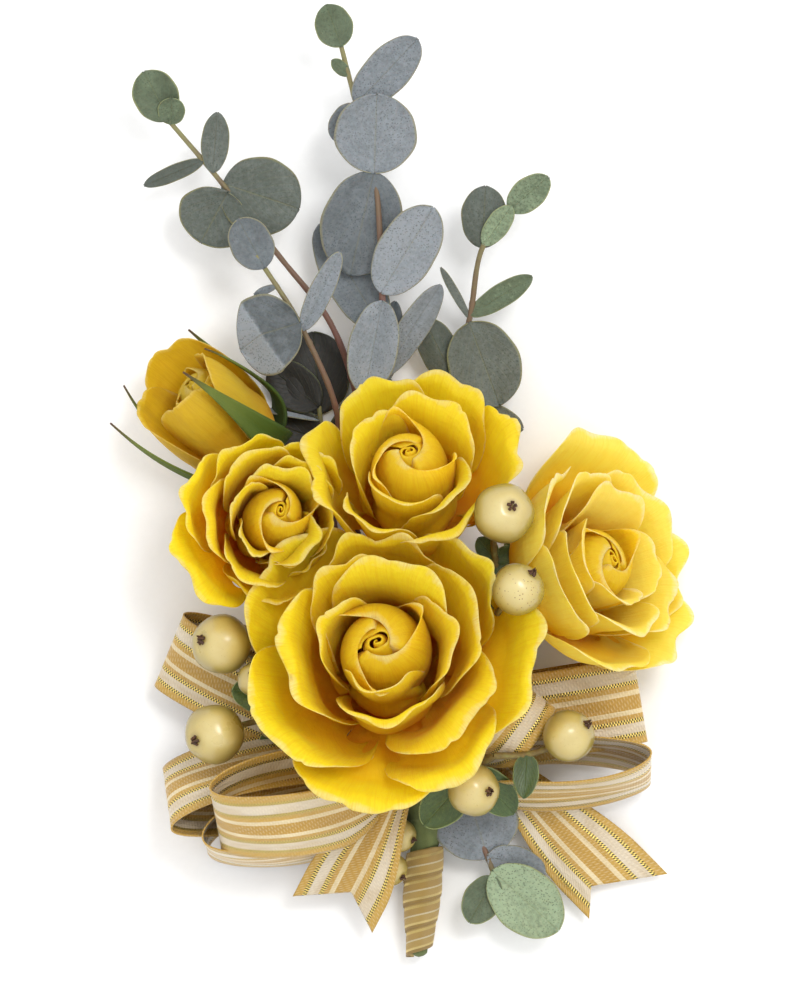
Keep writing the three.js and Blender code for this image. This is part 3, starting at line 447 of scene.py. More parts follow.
def petals(*rows):
    """Rows of turn, reach, rise, spread and perhaps curl. Of two neighbours the longer lies outside."""
    rows = sorted(rows)
    found = []
    for i, (turn, reach, rise, spread, *curl) in enumerate(rows):
        before, after = rows[i - 1], rows[(i + 1) % len(rows)]
        start = (before[0] - (360 if i == 0 else 0) + turn) / 2
        end = (after[0] + (360 if i == len(rows) - 1 else 0) + turn) / 2
        outside = (-1 if before[1] >= reach else 1, 1 if reach >= after[1] else -1)
        sizes = {"turn": turn, "reach": reach, "rise": rise, "spread": spread, "curl": curl}
        found.append({**sizes, "start": start, "end": end, "outside": outside})
    return found


def cup_ring(order, belly, lip, *rows):
    form = {"belly": (belly, 0.1), "lip": (lip, 1.02), "round": 0.62, "ruffle": 0.016}
    roll = {"curl": 48, "roll_start": 0.86, "widen": 1.3}
    return {"order": order, "petals": petals(*rows), **form, **roll}


def open_ring(order, belly, lip, *rows):
    form = {"belly": (belly, 0.12), "lip": (lip, 1.12), "round": 0.66, "ruffle": 0.027}
    roll = {"curl": 85, "roll_start": 0.8, "widen": 1.14}
    return {"order": order, "petals": petals(*rows), **form, **roll}


# Angles are in degrees, and shares are of the rose's radius or height. A port is where the stem
# joins the bundle. A sepal has its turn, reach, rise and width, and a heart its turn and its
# belly, tip and low rim. A ring has its order from the heart outwards, its belly and lip, and a
# row for each petal.
roses = {
    "front_rose": {
        "spot": ((391, 668), 0.34), "axis": leaning(13, 113), "diameter": 52e-3, "height": 26e-3,
        "port": ((416, 742), 0.19), "bend": 0.2, "eye": (-0.02, 0.02), "sepal_belly": 0.4,
        "sepals": [(turn, 0.42, -0.16, 0.1) for turn in (20, 92, 164, 236, 308)],
        "heart": (200, 0.37, 0.16, 0.86),
        "rings": {
            "inner": cup_ring(
                1, 0.56, 0.5, (75, 0.56, 1, 55), (158, 0.4, 0.96, 46), (268, 0.34, 0.95, 55),
                (8, 0.52, 0.92, 45),
            ),
            "middle": cup_ring(
                2, 0.74, 0.64, (185, 0.66, 0.93, 46, 2.0), (118, 0.61, 0.92, 36),
                (18, 0.72, 0.86, 42), (318, 0.82, 0.78, 38), (278, 0.54, 0.88, 46, 2.2),
            ),
            "outer": open_ring(
                3, 0.98, 0.82, (142, 0.99, 0.7, 36), (216, 0.97, 0.76, 40), (262, 1.12, 0.6, 34),
                (302, 1.06, 0.66, 30), (358, 1.08, 0.64, 38), (42, 0.9, 0.76, 30),
                (93, 0.72, 0.8, 38),
            ),
        },
    },
    "top_rose": {
        "spot": ((412, 506), 0.27), "axis": leaning(27, 90), "diameter": 39e-3, "height": 23e-3,
        "port": ((432, 742), 0.14), "bend": 0.35, "eye": (-0.03, 0.05), "sepal_belly": 0.45,
        "sepals": [(turn, 0.52, -0.1, 0.12) for turn in (10, 82, 154, 226, 298)],
        "heart": (150, 0.42, 0.2, 0.88),
        "rings": {
            "inner": cup_ring(
                1, 0.62, 0.54, (250, 0.5, 0.86, 58), (320, 0.56, 0.82, 50), (60, 0.6, 0.9, 55),
                (150, 0.56, 0.88, 50),
            ),
            "outer": open_ring(
                2, 0.9, 0.76, (186, 0.95, 0.84, 40), (115, 0.9, 0.74, 38), (62, 0.93, 0.74, 36),
                (12, 0.98, 0.8, 34), (296, 0.8, 0.74, 40), (238, 0.78, 0.78, 38),
            ),
        },
    },
    "right_rose": {
        "spot": ((558, 580), 0.218), "axis": leaning(50, 23), "diameter": 43e-3, "height": 17e-3,
        "port": ((446, 750), 0.15), "bend": 0.8, "eye": (-0.02, -0.03), "sepal_belly": 0.5,
        "sepals": [(turn, 0.55, -0.14, 0.12) for turn in (230, 300, 160, 20, 90)],
        "heart": (90, 0.37, 0.18, 0.84),
        "rings": {
            "inner": cup_ring(
                1, 0.54, 0.48, (100, 0.56, 1, 50), (190, 0.5, 0.96, 46), (280, 0.46, 0.94, 46),
                (10, 0.5, 0.9, 48),
            ),
            "middle": cup_ring(
                2, 0.74, 0.66, (60, 0.76, 0.95, 46), (140, 0.76, 1, 44), (215, 0.7, 0.96, 40),
                (290, 0.7, 0.9, 42), (345, 0.74, 0.84, 38),
            ),
            "outer": open_ring(
                3, 0.96, 0.86, (90, 1.08, 0.84, 42), (160, 0.9, 0.92, 36), (220, 0.86, 0.86, 36),
                (280, 0.98, 0.7, 38), (20, 0.95, 0.72, 42), (330, 1.0, 0.7, 36),
            ),
        },
    },
    "left_rose": {
        "spot": ((266, 526), 0.33), "axis": leaning(9, 35), "diameter": 33e-3, "height": 18e-3,
        "port": ((404, 740), 0.1), "bend": 0.3, "eye": (0.05, 0.1), "sepal_belly": 0.5,
        "sepals": [(turn, 0.6, -0.1, 0.13) for turn in (0, 72, 144, 216, 288)],
        "heart": (60, 0.38, 0.22, 0.88),
        "rings": {
            "inner": cup_ring(
                1, 0.56, 0.5, (80, 0.54, 0.98, 46), (150, 0.5, 0.94, 44), (225, 0.46, 0.9, 42),
                (320, 0.5, 0.92, 50),
            ),
            "middle": cup_ring(
                2, 0.76, 0.66, (115, 0.76, 0.92, 38), (180, 0.78, 0.88, 36), (240, 0.74, 0.84, 36),
                (300, 0.52, 0.78, 38), (10, 0.6, 0.88, 42), (60, 0.7, 0.92, 36),
            ),
            "outer": open_ring(
                3, 0.98, 0.84, (212, 1.12, 0.6, 36), (262, 0.86, 0.6, 34), (165, 1.02, 0.72, 36),
                (118, 0.86, 0.8, 36), (62, 0.82, 0.8, 36), (320, 0.6, 0.56, 36),
            ),
        },
    },
    "rose_bud": {
        "spot": ((247, 445), 0.147), "axis": leaning(54, 140), "diameter": 21e-3, "height": 22e-3,
        "port": ((400, 756), 0.08), "bend": 0.2, "eye": (0.2, 0.04), "sepal_belly": 1.12,
        "sepals": [
            (38, 0.78, 0.94, 0.26), (325, 0.74, 1.2, 0.44), (243, 1.36, 1.4, 0.22),
            (180, 0.72, 1.2, 0.16), (85, 1.37, 0.86, 0.18),
        ],
        "heart": (30, 0.66, 0.2, 0.88),
        "rings": {
            "outer": cup_ring(
                1, 1.1, 1.0, (20, 0.66, 0.92, 52), (100, 0.8, 0.98, 50, 0.3),
                (190, 0.78, 0.92, 50, 1.6), (285, 0.62, 0.95, 60, 0.3),
            ),
        },
    },
}

sepal_green = new_material("sepal_green", 0.6)
sepal_spot = spot_on(sepal_green)
sepal_map, _, sepal_along = map_shares(sepal_green)
sepal_fibres = cloudy(sepal_green, scaled(sepal_green, sepal_map, (14, 1.5, 1)), 4)
sepal_blotches = cloudy(sepal_green, sepal_spot, 220)
sepal_stops = [(0, "#34461A"), (0.5, "#4A621C"), (0.85, "#6E7A2E"), (1, "#5A3A24")]
sepal_base = graded(sepal_green, sepal_along, sepal_stops)
sepal_light = times(sepal_green, sepal_blotches, 0.7)
dressed(
    sepal_green,
    colour=blended(sepal_green, sepal_light, sepal_base, "#7A8A46", "SOFT_LIGHT"),
    roughness=graded(sepal_green, sepal_fibres, [(0, 0.5), (1, 0.75)]),
    normal=bumped(sepal_green, sepal_fibres, 0.1e-3),
)


def rose_stand(rose):
    return standing(place(*rose["spot"]), rose["axis"])


def last_order(rose):
    return max(ring["order"] for ring in rose["rings"].values())


def ring_base_radius(order):
    return heart_base_radius + order * (petal_thickness + petal_gap)


def ring_base_height(order):
    return -seat_slope * order * (petal_thickness + petal_gap)


def calyx_shape(rose):
    """The cup, lathed, and its five sepals, with their points curled away from the petals."""
    shape = new_shape()
    seat = ring_base_radius(last_order(rose)) + petal_thickness
    top = -petal_thickness / 2 - seat_clearance
    edge = ring_base_height(last_order(rose)) - petal_thickness / 2 - seat_clearance
    neck = top - calyx_length
    outs = [0, rose_stem_radius * 1.2, seat * 0.62, seat, seat, heart_base_radius, 0]
    ups = [neck, neck, top - calyx_length * 0.72, edge - sepal_thickness, edge, top, top]
    run = np.linspace(0, len(outs) - 1, 37)
    angle = np.linspace(0, 2 * math.pi, 49)
    out = np.interp(run, range(len(outs)), outs)[:, None] * (1 + 0.03 * np.cos(5 * angle))
    cup = around(out, angle, np.interp(run, range(len(ups)), ups)[:, None])
    stand = rose_stand(rose)
    add_skin(shape, stood(cup, stand), angle / 6, 0.3)
    radius = rose["diameter"] / 2
    belly = radius * rose["sepal_belly"]
    u, v = np.meshgrid(np.linspace(-1, 1, 9), np.linspace(0, 1, 27))
    for index, (turn, reach, rise, width) in enumerate(rose["sepals"]):
        out = bezier(v, seat * 0.7, max(belly, seat * 1.2), max(belly, radius * reach), radius * reach)
        low, high = edge - sepal_thickness, rose["height"] * rise
        up = bezier(v, low, low, high * 0.5, high)
        half = width * radius * (1 - v) ** 1.5 * (0.6 + 0.4 * smooth(v / 0.16) + 1.1 * v) + 0.16e-3
        side = u * half
        out = out + 0.25 * np.abs(side) - 0.2e-3 * np.cos(9 * v + index)
        points = around(out, math.radians(turn), up, side)
        add_sheet(shape, stood(points, stand), lerp(sepal_thickness, 0.25e-3, v), (u + 1) / 2, v)
    return shape


for rose_name, rose in roses.items():
    make_piece(rose_name + "_calyx", calyx_shape(rose), [sepal_green])


def stem_tree():
    """Nodes that grow a round stem along a line of edges, thinner at its end, with low knuckles."""
    tree = bpy.data.node_groups.new("stem_along_line", "GeometryNodeTree")
    sockets = {"Line": "Geometry", "Start radius": "Float", "End radius": "Float"}
    sockets.update({"Knuckles": "Float", "Sides": "Int", "Finish": "Material"})
    for name, kind in sockets.items():
        tree.interface.new_socket(name, in_out="INPUT", socket_type="NodeSocket" + kind)
    tree.interface.new_socket("Stem", in_out="OUTPUT", socket_type="NodeSocketGeometry")
    given = add_node(tree, "NodeGroupInput").outputs

    def step(kind, inputs=(), **settings):
        return add_node(tree, kind, inputs, **settings).outputs[0]

    line = step("GeometryNodeMeshToCurve", {"Mesh": given["Line"]})
    share = step("GeometryNodeSplineParameter")
    radii = {"Value": share, "To Min": given["Start radius"], "To Max": given["End radius"]}
    rough = step("ShaderNodeTexNoise", {"Scale": 320, "Vector": step("GeometryNodeInputPosition")})
    swell = {"Value": rough, "To Min": 0.85, "To Max": 1.15}
    count = step("ShaderNodeMath", {0: share, 1: given["Knuckles"]}, operation="MULTIPLY")
    beat = step("ShaderNodeMath", {0: count}, operation="FRACT")
    knuckle = {"Value": beat, "From Min": 0.93, "From Max": 1.0, "To Min": 1.0, "To Max": 1.25}
    radius = step("ShaderNodeMapRange", radii)
    for factor, ease in ((swell, "LINEAR"), (knuckle, "SMOOTHSTEP")):
        factor = step("ShaderNodeMapRange", factor, interpolation_type=ease)
        radius = step("ShaderNodeMath", {0: radius, 1: factor}, operation="MULTIPLY")
    marks = {"Geometry": line, "Name": "tone", "Value": share}
    marked = step("GeometryNodeStoreNamedAttribute", marks, data_type="FLOAT")
    girth = step("GeometryNodeSetCurveRadius", {"Curve": marked, "Radius": radius})
    circle = step("GeometryNodeCurvePrimitiveCircle", {"Radius": 1, "Resolution": given["Sides"]})
    outline = {"Curve": girth, "Profile Curve": circle, "Fill Caps": True}
    outline["Scale"] = step("GeometryNodeInputRadius")
    skin = step("GeometryNodeCurveToMesh", outline)
    real = step("GeometryNodeRealizeInstances", {0: skin})
    soft = step("GeometryNodeSetShadeSmooth", {"Geometry": real})
    painted = step("GeometryNodeSetMaterial", {"Geometry": soft, "Material": given["Finish"]})
    add_node(tree, "NodeGroupOutput", {0: painted})
    return tree


stem_nodes = stem_tree()


def grow_stems(node_name, lines, radii, finish, slot, part="", knuckles=0.0, sides=16):
    """A piece with a round stem along each line, as the tree of geometry nodes makes it."""
    mesh = bpy.data.meshes.new("lines")
    points, edges = [], []
    for line in lines:
        start = len(points)
        points += [tuple(p) for p in line]
        edges += [(start + i, start + i + 1) for i in range(len(line) - 1)]
    mesh.from_pydata(points, edges, [])
    maker = bpy.data.objects.new("maker", mesh)
    scene.collection.objects.link(maker)
    modifier = maker.modifiers.new("grown", "NODES")
    modifier.node_group = stem_nodes
    values = {"Start radius": radii[0], "End radius": radii[1], "Knuckles": knuckles}
    values.update({"Sides": sides, "Finish": finish})
    for socket in stem_nodes.interface.items_tree:
        if socket.name in values:
            modifier[socket.identifier] = values[socket.name]
    seen = maker.evaluated_get(bpy.context.evaluated_depsgraph_get())
    grown = bpy.data.meshes.new_from_object(seen)
    bpy.data.objects.remove(maker)
    bpy.data.meshes.remove(mesh)
    on_body(node_name, grown, part)


def grained(name, roughness, stretch, colours, roughness_stops, depth, **shader_values):
    """A material whose colour, roughness and relief all follow one stretched grain."""
    material = new_material(name, roughness, **shader_values)
    grain = cloudy(material, scaled(material, spot_on(material), stretch), 1, 4)
    dressed(
        material,
        colour=graded(material, grain, colours),
        roughness=graded(material, grain, roughness_stops),
        normal=bumped(material, grain, depth),
    )
    return material


rose_stem_green = new_material("rose_stem_green", 0.55)
stem_spot = spot_on(rose_stem_green)
stem_speckle = cloudy(rose_stem_green, stem_spot, 900, 4)
stem_streaks = cloudy(rose_stem_green, scaled(rose_stem_green, stem_spot, (700, 60, 700)), 1)
dressed(
    rose_stem_green,
    colour=graded(rose_stem_green, stem_streaks, [(0.25, "#3E5A26"), (0.55, "#56752F"), (0.85, "#7C6A3E")]),
    roughness=graded(rose_stem_green, stem_speckle, [(0, 0.45), (1, 0.7)]),
    normal=bumped(rose_stem_green, stem_speckle, 0.08e-3),
)


def rose_stem_line(rose):
    stand = rose_stand(rose)
    drop = petal_thickness / 2 + seat_clearance + stem_gap + calyx_length
    end = Vector(stood(np.array([0, 0, -drop]), stand))
    port = place(*rose["port"])
    run = port - end
    bend = end - Vector(rose["axis"]) * calyx_length * rose["bend"] + run * 0.12
    low = end + run * 0.5
    low.z = (port.z + bend.z) / 2
    return smooth_line([end, bend, low, port], 60)


for rose_name, rose in roses.items():
    radii = (rose_stem_radius, rose_stem_radius * 0.9)
    line = rose_stem_line(rose)
    finish = (rose_stem_green, "rose_green")
    grow_stems(rose_name + "_stem", [line], radii, *finish, knuckles=2.6, sides=20)

# Roses: heart and petals
# A rolled heart, then rings of thin petals that overlap like tiles. Each petal is thick and
# orange at its foot, thin and pale at its rim, and its rim rolls back and ripples. The orange at
# the foot is partly the petal's own colour and partly painted shade of the hollows, and the pale
# rim is partly a painted highlight.
collar_share = 0.1
parting_share = 0.2
layer_share = 0.75
petal_foot = 0.55e-3
petal_rim = 0.13e-3


def let_light_through(material, colour, share):
    """A share of the light comes through the thin sheet from behind."""
    shader = material.node_tree.nodes["Principled BSDF"]
    out = material.node_tree.nodes["Material Output"]
    behind = node(material, "BsdfTranslucent", {"Color": colour})
    both = node(material, "MixShader", {0: share, 1: shader.outputs[0], 2: behind.outputs[0]})
    feed(material.node_tree, out.inputs["Surface"], both.outputs[0])


def petal_yellow(name, deep, middle, light, edge, vein):
    """Petal skin: the colour runs from foot to rim, with fine veins that fan out and a soft bloom; the deep
    foot is partly painted shade and the pale rim partly a painted highlight.
    """
    skin = new_material(
        name,
        0.5,
        Sheen_Weight=0.04,
        Sheen_Roughness=0.4,
        Specular_IOR_Level=0.32,
        Subsurface_Weight=0.2,
        Subsurface_Radius=(1.0, 0.8, 0.1),
        Subsurface_Scale=1.6e-3,
    )
    flat, _, along = map_shares(skin)
    spot = spot_on(skin)
    clouds = cloudy(skin, spot, 190, 4)
    uneven = plus(skin, along, times(skin, minus(skin, clouds, 0.5), 0.35))
    # Painted shade and highlight: the deep stop at the foot is partly painted shade of the hollows, and the
    # edge stop is partly a painted highlight.
    body_stops = [(0.05, deep), (0.34, middle), (0.6, light), (0.93, light), (1.0, edge)]
    body = graded(skin, uneven, body_stops)
    warm = blended(skin, times(skin, own_tone(skin), 0.14), body, deep)
    veins = cloudy(skin, scaled(skin, flat, (26, 0.9, 1)), 2.2, 5, 0.6, 0.25)
    fine_veins = cloudy(skin, scaled(skin, flat, (90, 2.2, 1)), 2.0, 4, 0.6, 0.2)
    towards_rim = graded(skin, along, [(0.3, 0.2), (0.95, 1.0)])
    streaks = times(skin, graded(skin, fine_veins, [(0.48, 0.0), (0.7, 0.5)]), towards_rim)
    streaked = blended(skin, streaks, warm, vein)
    veined = blended(skin, graded(skin, veins, [(0.45, 0.0), (0.75, 0.4)]), streaked, vein)
    scorch = graded(skin, cloudy(skin, spot, 420, 5), [(0.62, 0.0), (0.74, 0.5)])
    at_rim = graded(skin, along, [(0.93, 0.0), (1.0, 1.0)])
    worn = blended(skin, times(skin, scorch, at_rim), veined, "#A8741E")
    waves = bumped(skin, veins, 0.16e-3, bumped(skin, clouds, 0.8e-3))
    dressed(
        skin,
        colour=worn,
        roughness=graded(skin, cloudy(skin, spot, 2600, 2), [(0.2, 0.42), (0.8, 0.62)]),
        normal=bumped(skin, fine_veins, 0.05e-3, waves),
    )
    let_light_through(skin, worn, 0.48)
    return skin


rose_yellow = petal_yellow("rose_yellow", "#F4A82A", "#FBDA28", "#FBEC34", "#F8EE9A", "#EEC61E")
# The right rose has a paler copy of the petal skin: painted light.
pale_yellow = petal_yellow("pale_yellow", "#F8B034", "#FDDE3C", "#FDF070", "#FDF6C0", "#F8DA4C")
heart_gold = petal_yellow("heart_gold", "#F0A024", "#FAC820", "#FBE22C", "#FAEE92", "#ECB41A")
bud_yellow = petal_yellow("bud_yellow", "#DA9A26", "#E8BE2C", "#EACE38", "#F2DE7A", "#D0A424")


def rolled_profile(share, curl, roll_start, out_knots, up_knots):
    """A petal's outline from foot to rim, whose last part rolls back along an arc."""
    kept = np.minimum(share, roll_start)
    ahead = np.minimum(kept + 0.01, 1)
    out, up = bezier(kept, *out_knots), bezier(kept, *up_knots)
    run_out = bezier(ahead, *out_knots) - bezier(ahead - 0.01, *out_knots)
    run_up = bezier(ahead, *up_knots) - bezier(ahead - 0.01, *up_knots)
    pace = np.maximum(np.hypot(run_out, run_up), 1e-9)
    run_out, run_up = run_out / pace, run_up / pace
    left = pace * 100 * (1 - roll_start)
    turn = curl * np.clip((share - roll_start) / (1 - roll_start), 0, 1.15)
    arc = left / curl
    onward, aside = arc * np.sin(turn), arc * (1 - np.cos(turn))
    return out + run_out * onward + run_up * aside, up + run_up * onward - run_out * aside


def petal_points(rose, ring, petal, u, v, pattern):
    """The petal's middle surface; pattern gives it its own curl, ripples and dents."""
    parting = smooth((v - collar_share) / (parting_share - collar_share))
    widening = smooth((v - parting_share) / 0.26)
    tip = pattern["point"] * np.exp(-((u / 0.2) ** 2))
    for spot, depth, width in pattern["nicks"]:
        tip = tip - depth * np.exp(-np.abs((u - spot) / width) ** 1.5)
    share = v * (1 - ring["round"] * np.abs(u) ** 3.4 * widening + tip * widening * v**3)
    radius = rose["diameter"] / 2
    reach = radius * lerp(1, petal["reach"], widening)
    rise = rose["height"] * lerp(1, petal["rise"], widening)
    foot_angle = lerp(petal["start"], petal["end"], (u + 1) / 2)
    angle = np.radians(lerp(foot_angle, petal["turn"] + u * petal["spread"] * ring["widen"], widening))
    outside = np.where(u < 0, *petal["outside"])
    layer = outside * smooth(np.abs(u) * 1.3) * parting * (petal_thickness + petal_gap) * layer_share
    girth = radius * lerp(1, (1 + petal["reach"]) / 2, widening)
    order = ring["order"]
    out_knots = (ring_base_radius(order), ring["belly"][0] * girth, ring["lip"][0] * girth, reach)
    up_knots = (ring_base_height(order), ring["belly"][1] * rose["height"], ring["lip"][1] * rise, rise)
    curl = math.radians(ring["curl"] * pattern["curl"]) * (0.7 + 0.6 * u**2)
    out, up = rolled_profile(share, curl, ring["roll_start"], out_knots, up_knots)
    swing = math.radians(petal["turn"])
    wave = ring["ruffle"] * widening * share**3 * np.sin(3 * math.pi * u + petal["turn"])
    ripple = 0.8 * ring["ruffle"] * share**6 * np.sin(7.5 * u * pattern["ripple"] + swing * 3)
    dent = np.sin(2.1 * u + 5.2 * v + swing * 7) * np.sin(3.4 * u - 2.6 * v + swing * 4)
    dent = 0.018 * widening * dent
    far = out + layer + (wave + ripple + dent) * radius
    return around(far, angle, up + (wave + ripple - dent * 0.6) * radius)


def petal_sheet(shape, rose, points, u, v, tone):
    thickness = np.interp(v, [0, 0.3, 0.9, 1], [petal_foot, 0.4e-3, 0.24e-3, petal_rim])
    thickness = thickness * (1 - 0.5 * u**8)
    add_sheet(shape, stood(points, rose_stand(rose)), thickness, (u + 1) / 2, v, tone)


def ring_shape(rose, ring, dice):
    shape = new_shape()
    u, v = np.meshgrid(np.linspace(-1, 1, 57), np.linspace(0, 1, 41))
    for petal in ring["petals"]:
        pattern = {"curl": dice.uniform(0.6, 1.35), "ripple": dice.uniform(0.8, 1.3)}
        pattern["point"] = dice.uniform(-0.01, 0.05)
        pattern["nicks"] = dice.uniform((-0.9, 0.005, 0.02), (0.9, 0.045, 0.09), (5, 3))
        if petal["curl"]:
            pattern["curl"] = petal["curl"][0]
        tone = dice.uniform(0, 1) * (0.9 - 0.2 * ring["order"])
        petal_sheet(shape, rose, petal_points(rose, ring, petal, u, v, pattern), u, v, tone)
    return shape


eye_turns = 2.3
wrap_arc = 118
heart_sink = 0.88


def eye_points(rose, u, v):
    """The eye of the heart is one narrow petal, rolled up tight."""
    inwards = (u + 1) / 2
    radius, height = rose["diameter"] / 2, rose["height"]
    turn, belly_share = rose["heart"][:2]
    angle = np.radians(turn - inwards * eye_turns * 360)
    foot = lerp(heart_base_radius * 0.8, heart_core_radius * 0.5, inwards)
    belly = lerp(radius * belly_share * 0.95, 0.5e-3, inwards**0.6)
    tip = lerp(radius * 0.09, 0.1e-3, inwards**0.8) * (1 + 0.3 * np.cos(2 * angle + turn))
    rise = height * heart_sink * (lerp(0.96, 1.0, inwards) + 0.008 * np.sin(angle * 1.5))
    return around(bezier(v, foot, belly, belly, tip), angle, rise * bezier(v, 0, 0.2, 0.9, 1))


def wrap_points(rose, index, u, v):
    """A petal that still wraps the eye: one side tucked in, the other opening over its neighbour."""
    radius, height = rose["diameter"] / 2, rose["height"]
    turn, belly_share, tip_share, low_share = rose["heart"]
    opening = smooth((u + 1) / 2)
    angle = np.radians(turn + index * 122 + u * wrap_arc)
    belly = radius * belly_share * (0.84 + 0.05 * index + 0.14 * opening)
    rim = radius * lerp(0.09, tip_share * 2, opening**2.2)
    pointed = np.exp(-np.abs((u - 0.62) / 0.15) ** 1.6)
    lip = 0.19 * (1 - belly_share) * radius * pointed * v**7
    fall = 0.5 * smooth((u - 0.66) / 0.34) ** 1.4 + 0.12 * smooth((-0.8 - u) / 0.2)
    rim_height = lerp(0.99, low_share + 0.06, opening**1.5) + 0.11 * (1 - belly_share) * pointed
    rise = height * heart_sink * (rim_height - fall)
    foot = heart_base_radius * (0.85 + 0.1 * opening)
    out = bezier(v, foot, belly * 1.06, belly * 1.02, rim) + lip
    return around(out, angle, rise * bezier(v, 0, 0.12, 0.98, 1) + lip * 0.3)


def heart_shape(rose):
    """The eye and three wraps, all leaning a little so that the eye looks off to one side."""
    shape = new_shape()
    lean = np.array([*rose["eye"], 0]) * rose["diameter"] / 2
    u, v = np.meshgrid(np.linspace(-1, 1, 161), np.linspace(0, 1, 31))
    points = eye_points(rose, u, v) + lean * smooth(v)[..., None]
    petal_sheet(shape, rose, points, u * 0.2, v * 0.9, 0.3)
    u, v = np.meshgrid(np.linspace(-1, 1, 49), np.linspace(0, 1, 37))
    for index in range(3):
        points = wrap_points(rose, index, u, v) + lean * smooth(v)[..., None]
        petal_sheet(shape, rose, points, u, v, 0.1 * index)
    return shape


petal_dice = np.random.default_rng(11)
for rose_name, rose in roses.items():
    is_bud = rose_name == "rose_bud"
    skin = {"rose_bud": bud_yellow, "right_rose": pale_yellow}.get(rose_name, rose_yellow)
    make_piece(rose_name + "_heart", heart_shape(rose), [skin if is_bud else heart_gold])
    for part, ring in rose["rings"].items():
        shape = ring_shape(rose, ring, petal_dice)
        make_piece(f"{rose_name}_{part}_petals", shape, [skin])

# Berries
# Cream berries with a waxy gloss, browner near both ends and freckled. Five brown calyx points
# close the tip of each one.
large_berry = 10.8e-3
middle_berry = 9.4e-3
small_berry = 6.2e-3
# Each berry has its pixel and height, diameter, the pixel its tip points at, and its sprig.
berries = {
    "berry_upper_right": ((503, 513), 0.66, large_berry, (512, 505), "upper"),
    "berry_speckled": ((517, 588), 0.72, middle_berry, (536, 566), "upper"),
    "berry_left_upper": ((221, 644), 0.42, large_berry, (199, 639), "left"),
    "berry_left_lower": ((214, 734), 0.42, large_berry, (193, 741), "left"),
    "berry_brown": ((255, 679), 0.49, small_berry, (252, 672), "left"),
    "berry_half_hidden": ((274, 724), 0.26, small_berry, (262, 722), "left"),
    "berry_right": ((569, 735), 0.46, middle_berry, (589, 722), "right"),
    "berry_right_low": ((474, 790), 0.44, middle_berry, (491, 791), "right"),
    "berry_behind_tail": ((400, 838), 0.19, small_berry, (424, 846), "low"),
    "berry_pale_low": ((391, 872), 0.18, small_berry, (408, 884), "low"),
}

# Painted light and shade: the colour is pale where the berry faces up and olive round its sides.
berry_cream = new_material(
    "berry_cream",
    0.3,
    Coat_Weight=0.35,
    Coat_Roughness=0.18,
    Subsurface_Weight=0.25,
    Subsurface_Radius=(1.0, 0.7, 0.3),
    Subsurface_Scale=1.2e-3,
)
berry_spot = spot_on(berry_cream)
berry_clouds = cloudy(berry_cream, berry_spot, 240, 4)
berry_facing = node(berry_cream, "NewGeometry").outputs["Normal"]
facing_up = node(berry_cream, "SeparateXYZ", {0: berry_facing}).outputs[2]
painted_light_stops = [(0.0, "#7C6C28"), (0.45, "#A08D46"), (0.8, "#C2AF6E"), (1.0, "#CEBE84")]
painted_light_tint = graded(berry_cream, facing_up, painted_light_stops)
end_stops = [(0.0, 0.7), (0.25, 0.0), (0.9, 0.0), (0.96, 0.5), (1.0, 1.0)]
near_ends = graded(berry_cream, map_shares(berry_cream)[2], end_stops)
browned = blended(berry_cream, near_ends, painted_light_tint, "#8E7434")
patches = graded(berry_cream, berry_clouds, [(0.45, 0.0), (0.8, 0.3)])
patched = blended(berry_cream, patches, browned, "#AE9350")
freckle_cells = node(berry_cream, "TexVoronoi", {"Vector": berry_spot, "Scale": 1500})
freckles = graded(berry_cream, freckle_cells.outputs["Distance"], [(0.12, 1.0), (0.2, 0.0)])
freckles = times(berry_cream, freckles, own_tone(berry_cream))
dressed(
    berry_cream,
    colour=blended(berry_cream, freckles, patched, "#7A4E28"),
    roughness=graded(berry_cream, berry_clouds, [(0.2, 0.22), (0.8, 0.42)]),
    normal=bumped(berry_cream, berry_clouds, 0.1e-3),
)
brown_stops = [(0.25, "#2E1B10"), (0.6, "#53331C"), (0.9, "#7A5630")]
calyx_brown = grained("calyx_brown", 0.7, (1500, 1500, 1500), brown_stops, [(0, 0.55), (1, 0.85)], 0.08e-3)


def berry_axis(spot, towards, diameter):
    across = (place(towards) - place(spot)) / (diameter / 2)
    if across.length > 0.9:
        across = across.normalized() * 0.9
    return Vector((across.x, across.y, math.sqrt(1 - across.length_squared)))


def berry_shape(spot, height_share, diameter, towards, speckles):
    """The berry is slightly five-sided; its painted faces are marked 0 for skin and 1 for calyx."""
    shape = new_shape()
    radius = diameter / 2
    stand = standing(place(spot, height_share), berry_axis(spot, towards, diameter))
    along = np.linspace(0, 1, 33)[:, None]
    angle = np.linspace(0, 2 * math.pi, 41)[None, :]
    polar = math.pi * along
    girth = np.sin(polar) ** 0.92 * (1 - 0.1 * smooth((along - 0.5) * 2)) * radius
    girth = girth * (1 + 0.022 * np.cos(5 * angle) * smooth(along * 2))
    near_tip = np.exp(-(((1 - along) / 0.12) ** 2))
    pleats = np.abs(np.cos(2.5 * angle + 0.6)) * np.exp(-(((0.84 - along) / 0.09) ** 2))
    girth = girth * (1 - 0.05 * pleats)
    up = -np.cos(polar) * radius * np.where(along < 0.5, 1, 0.98) - 0.13 * radius * near_tip
    body = stood(around(girth, angle, up), stand)
    add_skin(shape, body, angle / (2 * math.pi), along, speckles)
    skin_faces = len(shape["faces"])
    u, v = np.meshgrid(np.linspace(-1, 1, 7), np.linspace(0, 1, 9))
    for point in range(5):
        turned = 2 * math.pi * point / 5 + 0.3
        out = radius * (0.15 - 0.12 * v + 0.1 * v**3 * (point % 2))
        side = u * radius * 0.07 * (1 - v) ** 0.7 * (0.6 + 0.8 * v)
        up = radius * (0.84 + 0.16 * v) + 0.5e-3 * v * (point < 2) - 0.25 * np.abs(side)
        points = stood(around(out, turned, up, side), stand)
        add_sheet(shape, points, lerp(0.5e-3, 0.2e-3, v), (u + 1) / 2, v)
    shape["paint"] = [0] * skin_faces + [1] * (len(shape["faces"]) - skin_faces)
    return shape


